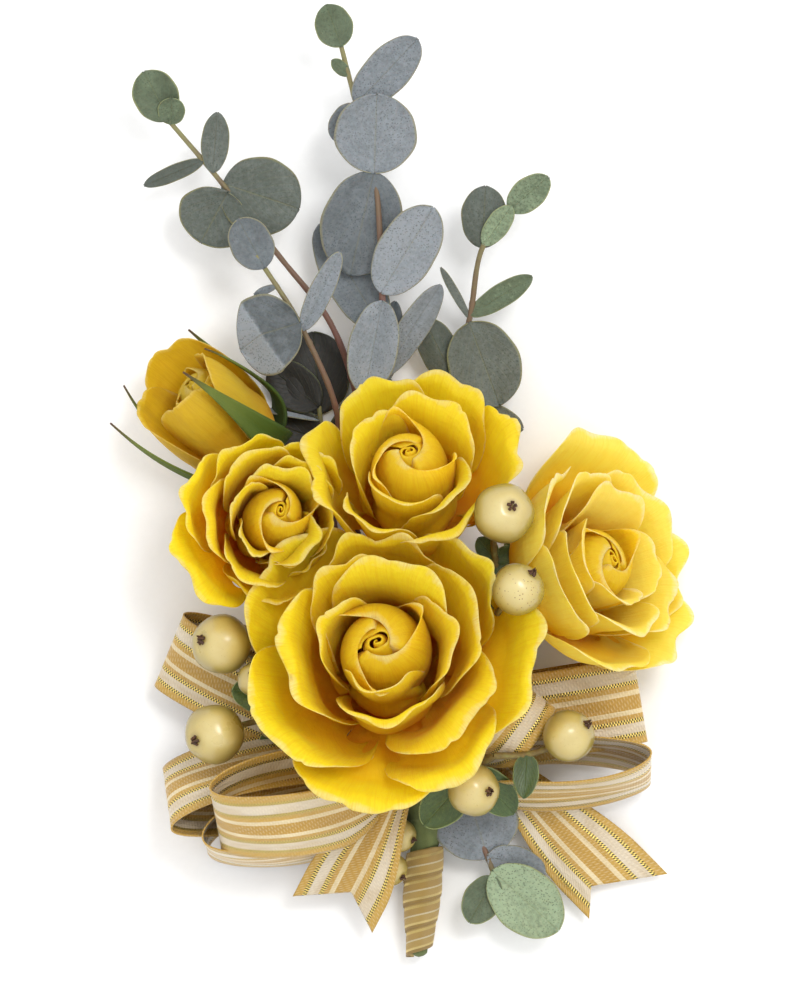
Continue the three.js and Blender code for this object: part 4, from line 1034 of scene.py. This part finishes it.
for name, (spot, height_share, diameter, towards, sprig) in berries.items():
    speckles = 0.9 if name == "berry_speckled" else 0.12
    shape = berry_shape(spot, height_share, diameter, towards, speckles)
    make_piece(name, shape, [berry_cream, calyx_brown])

# Berry sprigs
# Thin woody stalks fork to each berry, with small green leaves beside them.
berry_stalk_radius = 0.6e-3
# A leaf has the pixels of its foot and tip, its width in pixels, how steeply it rises, and
# perhaps a form of its own.
berry_sprigs = {
    "berry_sprig_left": {
        "carries": "left", "stem": [((408, 756), 0.19), ((384, 748), 0.22)], "fork": ((300, 714), 0.33),
        "leaves": [((268, 700), (232, 690), 36, 0.1, {"taper": -0.2}), ((290, 722), (260, 752), 26, -0.2)],
    },
    "berry_sprig_right": {
        "carries": "right", "stem": [((440, 766), 0.19), ((456, 762), 0.3)], "fork": ((494, 756), 0.4),
        "leaves": [
            ((470, 770), (425, 826), 44, -0.2),
            ((478, 775), (514, 814), 38, -0.3),
            ((525, 748), (524, 798), 26, 0.12, {"taper": -0.2}),
        ],
    },
    "berry_sprig_upper": {
        "carries": "upper", "stem": [((444, 736), 0.16), ((474, 690), 0.2)], "fork": ((504, 606), 0.34),
        "leaves": [
            ((492, 560), (478, 538), 22, 0.2),
            ((500, 560), (514, 548), 18, 0.1),
            ((504, 606), (536, 546), 34, -0.3),
            ((500, 612), (492, 552), 30, -0.3),
        ],
    },
    "berry_sprig_low": {
        "carries": "low",
        "stem": [((402, 814), 0.1)],
        "fork": ((394, 822), 0.14),
        "leaves": [],
    },
}


def leaf_skin(name, dark, middle, light, rim, bloom, roughness, vein_depth):
    """A leaf's skin: midrib and side veins, a paler rim, clouds of bloom and scattered specks."""
    values = {"Sheen_Weight": 0.06, "Sheen_Roughness": 0.5}
    skin = new_material(name, roughness, Subsurface_Weight=0.08, Subsurface_Scale=0.8e-3, **values)
    _, across, along = map_shares(skin)
    spot = spot_on(skin)
    off_middle = sums(skin, "ABSOLUTE", minus(skin, across, 0.5))
    midrib = graded(skin, off_middle, [(0.0, 0.8), (0.018, 0.0)])
    slanted = sums(skin, "FRACT", times(skin, minus(skin, along, off_middle), 9))
    pulse = sums(skin, "ABSOLUTE", minus(skin, slanted, 0.5))
    side_veins = times(skin, graded(skin, pulse, [(0.0, 1.0), (0.14, 0.0)]), 0.22)
    veins = sums(skin, "MAXIMUM", midrib, side_veins)
    clouds = cloudy(skin, spot, 170, 4)
    mottling = times(skin, cloudy(skin, spot, 1500, 4), 0.45)
    mottling = plus(skin, times(skin, clouds, 0.35), mottling)
    mottling = plus(skin, mottling, times(skin, own_tone(skin), 0.3))
    body = graded(skin, mottling, [(0.12, dark), (0.5, middle), (0.8, light)])
    dust = graded(skin, cloudy(skin, spot, 420, 5), [(0.45, 0.0), (0.75, 0.3)])
    veined = blended(skin, times(skin, veins, 0.34), blended(skin, dust, body, bloom), rim)
    side_edge = graded(skin, off_middle, [(0.465, 0.0), (0.495, 1.0)])
    edge = sums(skin, "MAXIMUM", side_edge, graded(skin, along, [(0.985, 0.0), (1.0, 1.0)]))
    rimmed = blended(skin, times(skin, edge, 0.75), veined, rim)
    cells = node(skin, "TexVoronoi", {"Vector": spot, "Scale": 2300}).outputs["Distance"]
    specks = graded(skin, cells, [(0.16, 1.0), (0.38, 0.0)])
    specks = times(skin, specks, graded(skin, clouds, [(0.35, 0.25), (0.62, 0.7)]))
    grain = cloudy(skin, spot, 1800, 3)
    dressed(
        skin,
        colour=blended(skin, specks, rimmed, dark),
        roughness=graded(skin, grain, [(0.2, roughness - 0.08), (0.8, roughness + 0.12)]),
        normal=bumped(skin, grain, 0.03e-3, bumped(skin, veins, -vein_depth)),
    )
    return skin


berry_leaf_colours = ("#2A3A18", "#405426", "#5E7436", "#94A060", "#4E6434")
berry_leaf_green = leaf_skin("berry_leaf_green", *berry_leaf_colours, 0.42, 0.12e-3)
wood_stops = [(0.2, "#5A4426"), (0.55, "#7A6A3A"), (0.85, "#8E9A58")]
berry_wood = grained("berry_wood", 0.6, (900, 900, 200), wood_stops, [(0, 0.5), (1, 0.8)], 0.08e-3)

# One leaf's tip is folded over, along a line that runs slantwise across the leaf.
flap_line = (0.95, 0.31)
flap_start = 0.06


def leaf_sheet(shape, base, tip, width, form, tone):
    """An oval leaf with a raised or sunk middle, creased along its midrib and a little ragged."""
    base, tip = np.array(base), np.array(tip)
    along = tip - base
    half = np.linalg.norm(along) / 2
    along = along / (2 * half)
    roll = math.radians(form.get("roll", 0))
    face = Matrix.Rotation(roll, 3, Vector(along)) @ Vector((0, 0, 1))
    across = unit(np.cross(np.array(face), along))
    up = np.cross(along, across)
    u, v = np.meshgrid(np.linspace(-1, 1, 25), np.linspace(0.012, 0.988, 41))
    turned = math.pi * v
    x = -half * np.cos(turned)
    taper = 1 - form.get("taper", 0) * np.cos(turned)
    ragged = 1 + 0.02 * np.sin(9 * v + tone * 30) + 0.012 * np.sin(23 * v * np.sign(u) + tone * 50)
    y = u * width / 2 * np.sin(turned) * taper * ragged
    spread = np.hypot(np.cos(turned), u * np.sin(turned))
    crease = form.get("fold", 0.05) * np.sqrt(y**2 + (0.4e-3) ** 2)
    height = form.get("cup", 0.06) * width * spread**2 + crease
    ripple = 0.022 * u**2 * np.sin(7 * v + tone * 40) + 0.012 * np.sin(5 * u + 4 * v + tone * 20)
    height = height + width * ripple
    tone = form.get("shade", tone)
    if form.get("flap"):
        from_fold = x * flap_line[0] + y * flap_line[1] - flap_start * half
        past = np.maximum(from_fold, 0)
        x = x - past * (flap_line[0] * 0.25 + flap_line[1] * 0.35)
        y = y - past * (flap_line[1] * 0.25 - flap_line[0] * 0.35)
        height = height + 1.5e-3 - past * 0.7 - 0.16 * np.maximum(-from_fold, 0)
        # Painted light and shade: the flap is painted pale and the rest of the leaf dark.
        tone = lerp(-0.6, 1.5, smooth(from_fold / 0.4e-3 + 0.5))
    points = (base + tip) / 2 + x[..., None] * along + y[..., None] * across + height[..., None] * up
    thickness = lerp(0.42e-3, 0.16e-3, np.abs(u) ** 3)
    add_sheet(shape, points, thickness, (u + 1) / 2, v, tone)


def leaf_places(lines, base_pixel, tip_pixel, rise_share):
    """A leaf grows from the nearest point of the stem lines, seen from the front."""
    goal = np.array(place(base_pixel))[:2]
    spots = np.vstack(lines)
    base = spots[np.argmin(np.linalg.norm(spots[:, :2] - goal, axis=1))]
    tip = place(tip_pixel)
    tip.z = base[2] + rise_share * math.hypot(tip.x - base[0], tip.y - base[1])
    return base, tip


def leaves_shape(lines, leaves, dice):
    """All the leaves of one sprig; one marked as other has the second of the sprig's two skins."""
    shape = new_shape()
    shape["paint"] = []
    for base_pixel, tip_pixel, width, rise_share, *form in leaves:
        form = form[0] if form else {}
        base, tip = leaf_places(lines, base_pixel, tip_pixel, rise_share)
        leaf_sheet(shape, base, tip, width * pixel_size, form, dice.uniform(0, 1))
        shape["paint"] += [int("other" in form)] * (len(shape["faces"]) - len(shape["paint"]))
    return shape


def berry_lines(sprig):
    fork = place(*sprig["fork"])
    lines = [smooth_line([*(place(*knot) for knot in sprig["stem"]), fork], 40)]
    for spot, height_share, diameter, towards, carrier in berries.values():
        if carrier == sprig["carries"]:
            axis = berry_axis(spot, towards, diameter)
            foot = place(spot, height_share) - axis * (diameter / 2 + 0.1e-3)
            bend = (foot - axis * diameter * 0.25).lerp(fork, 0.3)
            lines.append(smooth_line([fork, bend, foot], 30))
    return lines


leaf_dice = np.random.default_rng(5)
for name, sprig in berry_sprigs.items():
    lines = berry_lines(sprig)
    radii = (berry_stalk_radius * 1.1, berry_stalk_radius * 0.9)
    finish = (berry_wood, "berry_leaves", "_stalks")
    grow_stems(name, lines, radii, *finish, knuckles=1.9, sides=12)
    if sprig["leaves"]:
        shape = leaves_shape(lines, sprig["leaves"], leaf_dice)
        make_piece(name, shape, [berry_leaf_green], "_leaves")

# Eucalyptus and backing leaves
# Round leaves with a dusty blue-grey bloom stand on thin stems, reddish brown below and yellow
# green towards the tips. The young leaves are sage green, and near-black leaves back the
# flowers; their near-black colour is painted shade.
sprig_stem_radius = 0.68e-3
# A stem runs through knots, each with its pixel and its height as a share of the depth.
sprigs = {
    "eucalyptus_centre": {
        "look": "grey", "other": "sage",
        "stem": [
            (416, 732, 0.05), (405, 560, 0.08), (384, 400, 0.16), (382, 293, 0.24),
            (374, 169, 0.27), (355, 99, 0.3), (341, 45, 0.33),
        ],
        "leaves": [
            ((341, 45), (326, 4), 38, 0.2, {"other": True, "shade": 0.0}),
            ((357, 100), (418, 38), 46, 0.15, {"cup": 0.08}),
            ((350, 75), (332, 59), 14, 0.3, {"other": True}),
            ((357, 104), (334, 137), 30, -0.5),
            ((374, 168), (377, 92), 82, 0.26, {"shade": 0.8}),
            ((378, 172), (350, 272), 82, -0.24, {"shade": 0.1}),
            ((381, 290), (434, 206), 60, 0.3, {"cup": 0.08, "shade": 1.2}),
            ((384, 330), (320, 222), 55, -0.26, {"shade": 0.1}),
            ((383, 300), (364, 394), 50, 0.05, {"fold": 0.35, "shade": 0.9}),
            ((384, 372), (440, 283), 34, 0.1, {"roll": 25, "shade": 0.8}),
            ((386, 384), (395, 300), 26, -0.15),
        ],
    },
    "eucalyptus_right": {
        "look": "green", "other": "sage",
        "stem": [
            (446, 736, 0.06), (452, 560, 0.08), (452, 420, 0.12), (458, 370, 0.13),
            (471, 313, 0.17), (483, 246, 0.24), (512, 206, 0.28),
        ],
        "leaves": [
            ((510, 207), (549, 176), 32, 0.1, {"fold": 0.3, "other": True}),
            ((482, 246), (486, 185), 46, 0.1, {"cup": -0.06}),
            ((484, 244), (512, 205), 24, 0.4, {"other": True}),
            ((472, 312), (533, 275), 24, 0.15, {"other": True, "shade": 0.2}),
            ((468, 322), (500, 404), 74, -0.12, {"cup": 0.06}),
            ((470, 316), (441, 266), 9, 0.2),
            ((458, 384), (424, 318), 40, 0.16, {"fold": -0.3}),
            ((455, 410), (524, 428), 34, -0.06),
        ],
    },
    "eucalyptus_left_tall": {
        "look": "green", "other": "sage",
        "stem": [
            (400, 738, 0.05), (380, 560, 0.06), (358, 403, 0.11), (330, 322, 0.16), (278, 254, 0.2),
            (219, 179, 0.24), (167, 118, 0.27),
        ],
        "leaves": [
            ((167, 118), (143, 70), 46, 0.2, {"cup": 0.08, "other": True, "shade": 0.0}),
            ((168, 121), (171, 96), 28, 0.5, {"other": True, "shade": 0.2}),
            ((213, 168), (217, 111), 28, 0.3),
            ((200, 158), (143, 184), 17, 0.05),
            ((228, 186), (200, 240), 74, -0.2),
            ((222, 182), (298, 207), 80, 0.1, {"cup": -0.05}),
        ],
    },
    "eucalyptus_left_short": {
        "look": "grey", "other": "sage",
        "stem": [
            (410, 728, 0.15), (372, 600, 0.1), (344, 470, 0.17), (334, 402, 0.26), (307, 338, 0.32),
            (292, 310, 0.34), (256, 255, 0.36),
        ],
        "leaves": [
            ((262, 270), (238, 219), 44, 0.1, {"cup": 0.08, "shade": 0.1}),
            ((299, 323), (228, 344), 78, 0.1, {"cup": 0.05, "flap": True}),
            ((298, 330), (340, 252), 24, 0.25, {"fold": 0.4, "shade": 0.9}),
            ((276, 284), (254, 294), 8, 0.1),
        ],
    },
    "backing_leaves": {
        "look": "dark", "other": "grey",
        "stem": [(394, 748, 0.03), (340, 560, 0.025), (320, 425, 0.03), (318, 405, 0.03)],
        "leaves": [
            ((318, 412), (312, 330), 68, -0.02, {"cup": -0.02}),
            ((320, 420), (240, 406), 16, 0.5, {"roll": 70, "other": True, "shade": 1.4}),
            ((318, 405), (268, 366), 46, -0.01),
            ((326, 440), (266, 420), 48, -0.01),
            ((330, 470), (390, 378), 52, 0.0),
        ],
    },
    "eucalyptus_lower_right": {
        "look": "grey", "other": "sage",
        "stem": [(446, 776, 0.08), (464, 815, 0.1), (484, 850, 0.12), (498, 886, 0.13)],
        "leaves": [
            ((489, 862), (466, 790), 84, 0.08, {"cup": -0.05, "shade": 0.8}),
            ((489, 858), (546, 878), 38, -0.2),
            ((496, 880), (470, 926), 38, 0.05, {"cup": 0.1, "other": True, "shade": 0.1}),
            ((494, 874), (560, 934), 64, 0.12, {"cup": 0.08, "other": True, "shade": 1.2}),
        ],
    },
}

leaf_colours = {
    "grey": ("eucalyptus_grey", "#3C4244", "#646B6F", "#8A9096", "#86825E", "#858B91", 0.62),
    "green": ("eucalyptus_green", "#333A30", "#4B5249", "#6C726C", "#858250", "#5E6664", 0.6),
    "sage": ("eucalyptus_sage", "#363F2A", "#56634A", "#93A584", "#8E9460", "#74866C", 0.6),
    # The backing leaves' near-black colours are painted shade behind the flowers.
    "dark": ("backing_green", "#0F0E09", "#1A1811", "#26231B", "#565C34", "#1F1D16", 0.55),
}
leaf_looks = {look: leaf_skin(*values, 0.1e-3) for look, values in leaf_colours.items()}

sprig_bark = new_material("sprig_bark", 0.55)
bark_speckle = cloudy(sprig_bark, spot_on(sprig_bark), 800, 4)
bark_patches = times(sprig_bark, minus(sprig_bark, bark_speckle, 0.5), 0.3)
bark_run = plus(sprig_bark, own_tone(sprig_bark), bark_patches)
bark_stops = [(0.15, "#6A3F3A"), (0.6, "#704C42"), (0.85, "#6C5C42"), (1.0, "#7C784C")]
dressed(
    sprig_bark,
    colour=graded(sprig_bark, bark_run, bark_stops),
    roughness=graded(sprig_bark, bark_speckle, [(0, 0.42), (1, 0.7)]),
    normal=bumped(sprig_bark, bark_speckle, 0.06e-3),
)

for name, sprig in sprigs.items():
    knots = [place((x, y), height_share) for x, y, height_share in sprig["stem"]]
    line = smooth_line(knots, 140)
    radii = (sprig_stem_radius * 1.1, sprig_stem_radius * 0.65)
    finish = (sprig_bark, "eucalyptus", "_stem")
    grow_stems(name, [line], radii, *finish, knuckles=7.5, sides=14)
    shape = leaves_shape([line], sprig["leaves"], leaf_dice)
    skins = [leaf_looks[sprig["look"]], leaf_looks[sprig["other"]]]
    make_piece(name, shape, skins, "_foliage")

# Bow wire
# A short soft wire, pressed over the bundle like a staple, gathers the foot of the bow.
wire_radius = 0.5e-3
wire_place_share = 0.3
wire_clearance = 0.3e-3
wire_ends = (-42, 222)
steel_stops = [(0.3, "#8E8E88"), (0.7, "#B4B3AC")]
scuff_stops = [(0.2, 0.28), (0.8, 0.5)]
wire_steel = grained("wire_steel", 0.35, (1200, 200, 1200), steel_stops, scuff_stops, 0.03e-3, Metallic=1.0)
wire_centre = bundle_places[1].lerp(bundle_places[2], wire_place_share)
wire_reach = lerp(bundle_radii[1], bundle_radii[2], wire_place_share) + wire_clearance + wire_radius
wire_angles = np.radians(np.linspace(*wire_ends, 60))
wire_line = [wire_centre + Vector((math.cos(a), 0, math.sin(a))) * wire_reach for a in wire_angles]
grow_stems("bow_wire", [wire_line], (wire_radius, wire_radius), wire_steel, "binding_wire")

# Bow: loops and tails
# One roll of sheer woven ribbon: gold gauze with white satin stripes, and metal threads that
# glint in dashes. Each loop is pinched flat at its root; the tails end in a swallow's tail.
ribbon_width = 15.9e-3
pinch_width = 5e-3
pinch_opening = 1.6e-3
woven_edge = 0.92
knee_share = 0.3
# A loop has its root, its far end, the direction across its cloth, and how hollow it is.
bow_loops = {
    "bow_loop_left_front": (((396, 786), 0.2), ((216, 816), 0.47), (-0.1, 0.72, 0.7), 0.78),
    "bow_loop_left_upper": (((388, 742), 0.16), ((168, 650), 0.17), (0.1, 0.85, 0.42), 0.7),
    "bow_loop_left_outer": (((385, 762), 0.1), ((166, 800), 0.245), (0.3, -0.6, 0.75), 0.7),
    "bow_loop_left_low": (((396, 806), 0.1), ((204, 846), 0.225), (0.1, 0.24, 0.96), 0.8),
    "bow_loop_right_inner": (((460, 762), 0.18), ((520, 682), 0.36), (0.92, -0.45, -0.2), 0.7),
    "bow_loop_right_upper": (((460, 730), 0.15), ((642, 700), 0.17), (0.03, 1, 0.06), 0.5),
    "bow_loop_right_low": (((459, 778), 0.16), ((652, 770), 0.25), (-0.06, 0.34, 0.9), 0.6),
}
# A tail has its root, its cut end, its arch, the place of its notch and the slant of its cut.
bow_tails = {
    "bow_tail_left": (((408, 768), 0.215), ((332, 918), 0.14), 0.3, 0.15, -0.3e-3),
    "bow_tail_right": (((474, 742), 0.075), ((631, 901), 0.06), 0.04, -0.44, 2.1e-3),
}
notch_depth = 5.2e-3
ribbon_bands = [
    (0.0, "#BE9840"), (0.085, "#BE9840"), (0.125, "#D2C5AE"), (0.245, "#BA933E"),
    (0.345, "#DCCBA2"), (0.4, "#B58D34"),
    (0.56, "#DCCBA2"), (0.62, "#BE9840"), (0.72, "#D2C5AE"), (0.86, "#BE9840"),
]
satin_bands = [
    (0.0, 0.1), (0.125, 1.0), (0.245, 0.1), (0.345, 0.8), (0.4, 0.1), (0.56, 0.8), (0.62, 0.1),
    (0.72, 1.0), (0.86, 0.1),
]
# A thread of metal dashes shows as two rows, half a dash apart.
thread_starts = (0.085, 0.247, 0.68, 0.86)
thread_width = 0.046
dashes_per_width = 30
ribs_per_width = 30


def striped_ribbon():
    """Woven stripes read across the ribbon; the dashes, ribs and creases repeat along it."""
    cloth = new_material("striped_ribbon", 0.4, Sheen_Weight=0.3, Sheen_Roughness=0.35, Anisotropic=0.4)
    flat, across, along = map_shares(cloth)
    bands = graded(cloth, across, ribbon_bands, "CONSTANT")
    satin = graded(cloth, across, satin_bands, "CONSTANT")
    rows = [(0.0, 0.0)]
    for start in thread_starts:
        rows += [(start, 0.25), (start + thread_width / 2, 0.75), (start + thread_width, 0.0)]
    row = graded(cloth, across, rows, "CONSTANT")
    thread = sums(cloth, "GREATER_THAN", row, 0.1)
    beat = sums(cloth, "FRACT", plus(cloth, times(cloth, along, dashes_per_width), row))
    dash = graded(cloth, beat, [(0.0, 0.0), (0.06, 1.0), (0.5, 1.0), (0.56, 0.0)])
    glint = times(cloth, thread, dash)
    ribs = sums(cloth, "SINE", times(cloth, along, 2 * math.pi * ribs_per_width))
    slant = plus(cloth, times(cloth, along, 1.6), across)
    moire = sums(cloth, "SINE", times(cloth, slant, 2 * math.pi * ribs_per_width * 0.45))
    weave = times(cloth, plus(cloth, ribs, moire), 0.5)
    fuzz = cloudy(cloth, scaled(cloth, flat, (90, 20, 1)), 2, 4)
    creases = cloudy(cloth, scaled(cloth, flat, (4.5, 1.1, 1)), 2, 4, distortion=0.5)
    shaded = blended(cloth, graded(cloth, fuzz, [(0.3, 0.0), (0.8, 0.22)]), bands, "#9A7330", "MULTIPLY")
    # Painted shade: the gold is darker in the valleys of the creases.
    crease_shaded_gold = blended(cloth, graded(cloth, creases, [(0.3, 0.35), (0.6, 0.0)]), shaded, "#A07C38")
    gauze = blended(cloth, graded(cloth, weave, [(0.0, 0.0), (1.0, 0.2)]), crease_shaded_gold, "#FFF4D0")
    threads = blended(cloth, thread, gauze, "#33240F")
    colour = blended(cloth, glint, threads, "#F0D678")
    relief = plus(cloth, times(cloth, weave, 0.5), times(cloth, thread, 1.2))
    dressed(
        cloth,
        colour=colour,
        roughness=graded(cloth, satin, [(0.0, 0.5), (1.0, 0.34)]),
        normal=bumped(cloth, relief, 0.05e-3, bumped(cloth, creases, 0.6e-3)),
        Metallic=times(cloth, glint, 0.8),
    )
    return cloth


ribbon_cloth = striped_ribbon()


def loop_points(root, tip, across, hollow_share, u, v):
    """A loop runs out from its pinch, turns at its far end and comes back below itself."""
    root, tip = place(*root), place(*tip)
    knee = root.lerp(tip, knee_share)
    knee.z = tip.z
    outward = np.array((tip - knee).normalized())
    across = np.array(across, float)
    across = unit(across - outward * across.dot(outward))
    lift = np.cross(outward, across)
    root, tip, knee = np.array(root), np.array(tip), np.array(knee)
    angle = v * 2 * math.pi
    out = ((1 - np.cos(angle)) / 2)[..., None]
    belly = np.sin(angle) * out[..., 0] ** 0.35 * hollow_share * ribbon_width / 2
    opening = np.cos(angle / 2) * pinch_opening / 2
    width = lerp(pinch_width, ribbon_width, smooth(out[..., 0] * 2.2))
    pleats = (1 - width / ribbon_width) * 0.6e-3 * np.cos(u * math.pi * 2.5)
    sag = 0.35e-3 * np.sin(u * 2.6 + v * 17) * out[..., 0]
    line = (1 - out) ** 2 * root + 2 * out * (1 - out) * knee + out**2 * tip
    return line + lift * (belly + opening + pleats + sag)[..., None] + across * (u * width / 2)[..., None]


def tail_points(root, end, arch_share, notch, slant, u, v):
    """A tail widens all the way to its cut end, whose notch may lie to one side."""
    root, end = place(*root), place(*end)
    along = end - root
    length = along.length
    along.normalize()
    across = np.array(Vector((0, 0, 1)).cross(along).normalized())
    narrow = lerp(pinch_width / ribbon_width, 1, smooth(v * 1.2))
    off_notch = np.where(u < notch, (notch - u) / (1 + notch), (u - notch) / (1 - notch))
    cut = length - notch_depth * (1 - off_notch) + slant * u
    lift = arch_share * ribbon_width * np.sin(v * math.pi) + 0.3e-3 * np.sin(u * 2 + v * 9) * v
    lift = lift + (1 - narrow) * 0.6e-3 * np.cos(u * math.pi * 2.5)
    aside = u * narrow * ribbon_width / 2
    points = np.array(root) + (v * cut)[..., None] * np.array(along) + aside[..., None] * across
    return points + lift[..., None] * np.array((0, 0, 1))


def add_ribbon(name, points_of, values, rows):
    """One loop or tail. The cloth is thin, with a slightly thicker woven edge."""
    u, v = np.meshgrid(np.linspace(-1, 1, 33), np.linspace(0, 1, rows))
    points = points_of(*values, u, v)
    run = run_along(points[:, points.shape[1] // 2])
    thickness = lerp(0.16e-3, 0.3e-3, smooth((np.abs(u) - woven_edge) / (1 - woven_edge)))
    shape = new_shape()
    add_sheet(shape, points, thickness, (u + 1) / 2, (run / ribbon_width)[:, None])
    piece = make_piece(name, shape, [ribbon_cloth])


for name, values in bow_loops.items():
    add_ribbon(name, loop_points, values, 141)
for name, values in bow_tails.items():
    add_ribbon(name, tail_points, values, 71)

# Handle winding
# A narrow strip with the ribbon's bright edge is wound round the handle from its neck to its tip.
wrap_strip_width = 3.6e-3
wrap_strip_thickness = 0.6e-3
wrap_pitch = 4.5e-3
wrap_lap_width = 5.2e-3
threads_per_turn = 220
handle_steps = 400

winding_gold = new_material("winding_gold", 0.35, Sheen_Weight=0.2, Anisotropic=0.5)
winding_map, winding_across, winding_along = map_shares(winding_gold)
gold_bands = [(0.0, "#CFAA58"), (0.2, "#E6CC7C"), (0.3, "#CBA552"), (0.52, "#F0E2B8")]
gold_bands += [(0.58, "#D2AE5C"), (0.8, "#EED68C"), (0.88, "#B08C3C")]
winding_bands = graded(winding_gold, winding_across, gold_bands, "CONSTANT")
metal_bands = [(0.0, 0.3), (0.2, 1.0), (0.3, 0.3), (0.52, 0.2), (0.58, 0.4), (0.8, 1.0), (0.88, 0.3)]
winding_metal = graded(winding_gold, winding_across, metal_bands, "CONSTANT")
winding_turns = times(winding_gold, winding_along, 2 * math.pi * threads_per_turn)
winding_threads = sums(winding_gold, "SINE", winding_turns)
winding_fuzz = cloudy(winding_gold, scaled(winding_gold, winding_map, (30, 60, 1)), 2, 4)
winding_wear = graded(winding_gold, winding_fuzz, [(0.3, 0.0), (0.8, 0.4)])
dressed(
    winding_gold,
    colour=blended(winding_gold, winding_wear, winding_bands, "#A8843C"),
    roughness=graded(winding_gold, winding_fuzz, [(0.2, 0.25), (0.8, 0.5)]),
    normal=bumped(winding_gold, plus(winding_gold, winding_threads, winding_fuzz), 0.05e-3),
    Metallic=times(winding_gold, winding_metal, 0.85),
)


def winding_shape():
    handle = smooth_line(bundle_places[2:], handle_steps)
    handle_length = run_along(handle)[-1]
    turns = (handle_length - wrap_strip_width) / wrap_pitch
    u, v = np.meshgrid(np.linspace(-1, 1, 17), np.linspace(0, 1, int(turns * 60)))
    run = wrap_strip_width / 2 + v * (handle_length - wrap_strip_width) + u * wrap_lap_width / 2
    share = np.clip(run / handle_length, 0, 1)
    steps = np.arange(handle_steps)
    centre = [np.interp(share * steps[-1], steps, handle[:, axis]) for axis in range(3)]
    narrowing = lerp(bundle_radii[3], bundle_radii[4], smooth(share * 1.6 - 0.6))
    radius = narrowing + 0.3e-3 + wrap_strip_thickness * (0.75 + 0.25 * u) - 0.12e-3 * u**2
    angle = v * turns * 2 * math.pi
    around_handle = [radius * np.cos(angle), 0 * angle, radius * np.sin(angle)]
    points = np.stack(centre, axis=-1) + np.stack(around_handle, axis=-1)
    shape = new_shape()
    add_sheet(shape, points, 0.18e-3, (u + 1) / 2, v * turns)
    return shape


make_piece("stem_wrap", winding_shape(), [winding_gold])
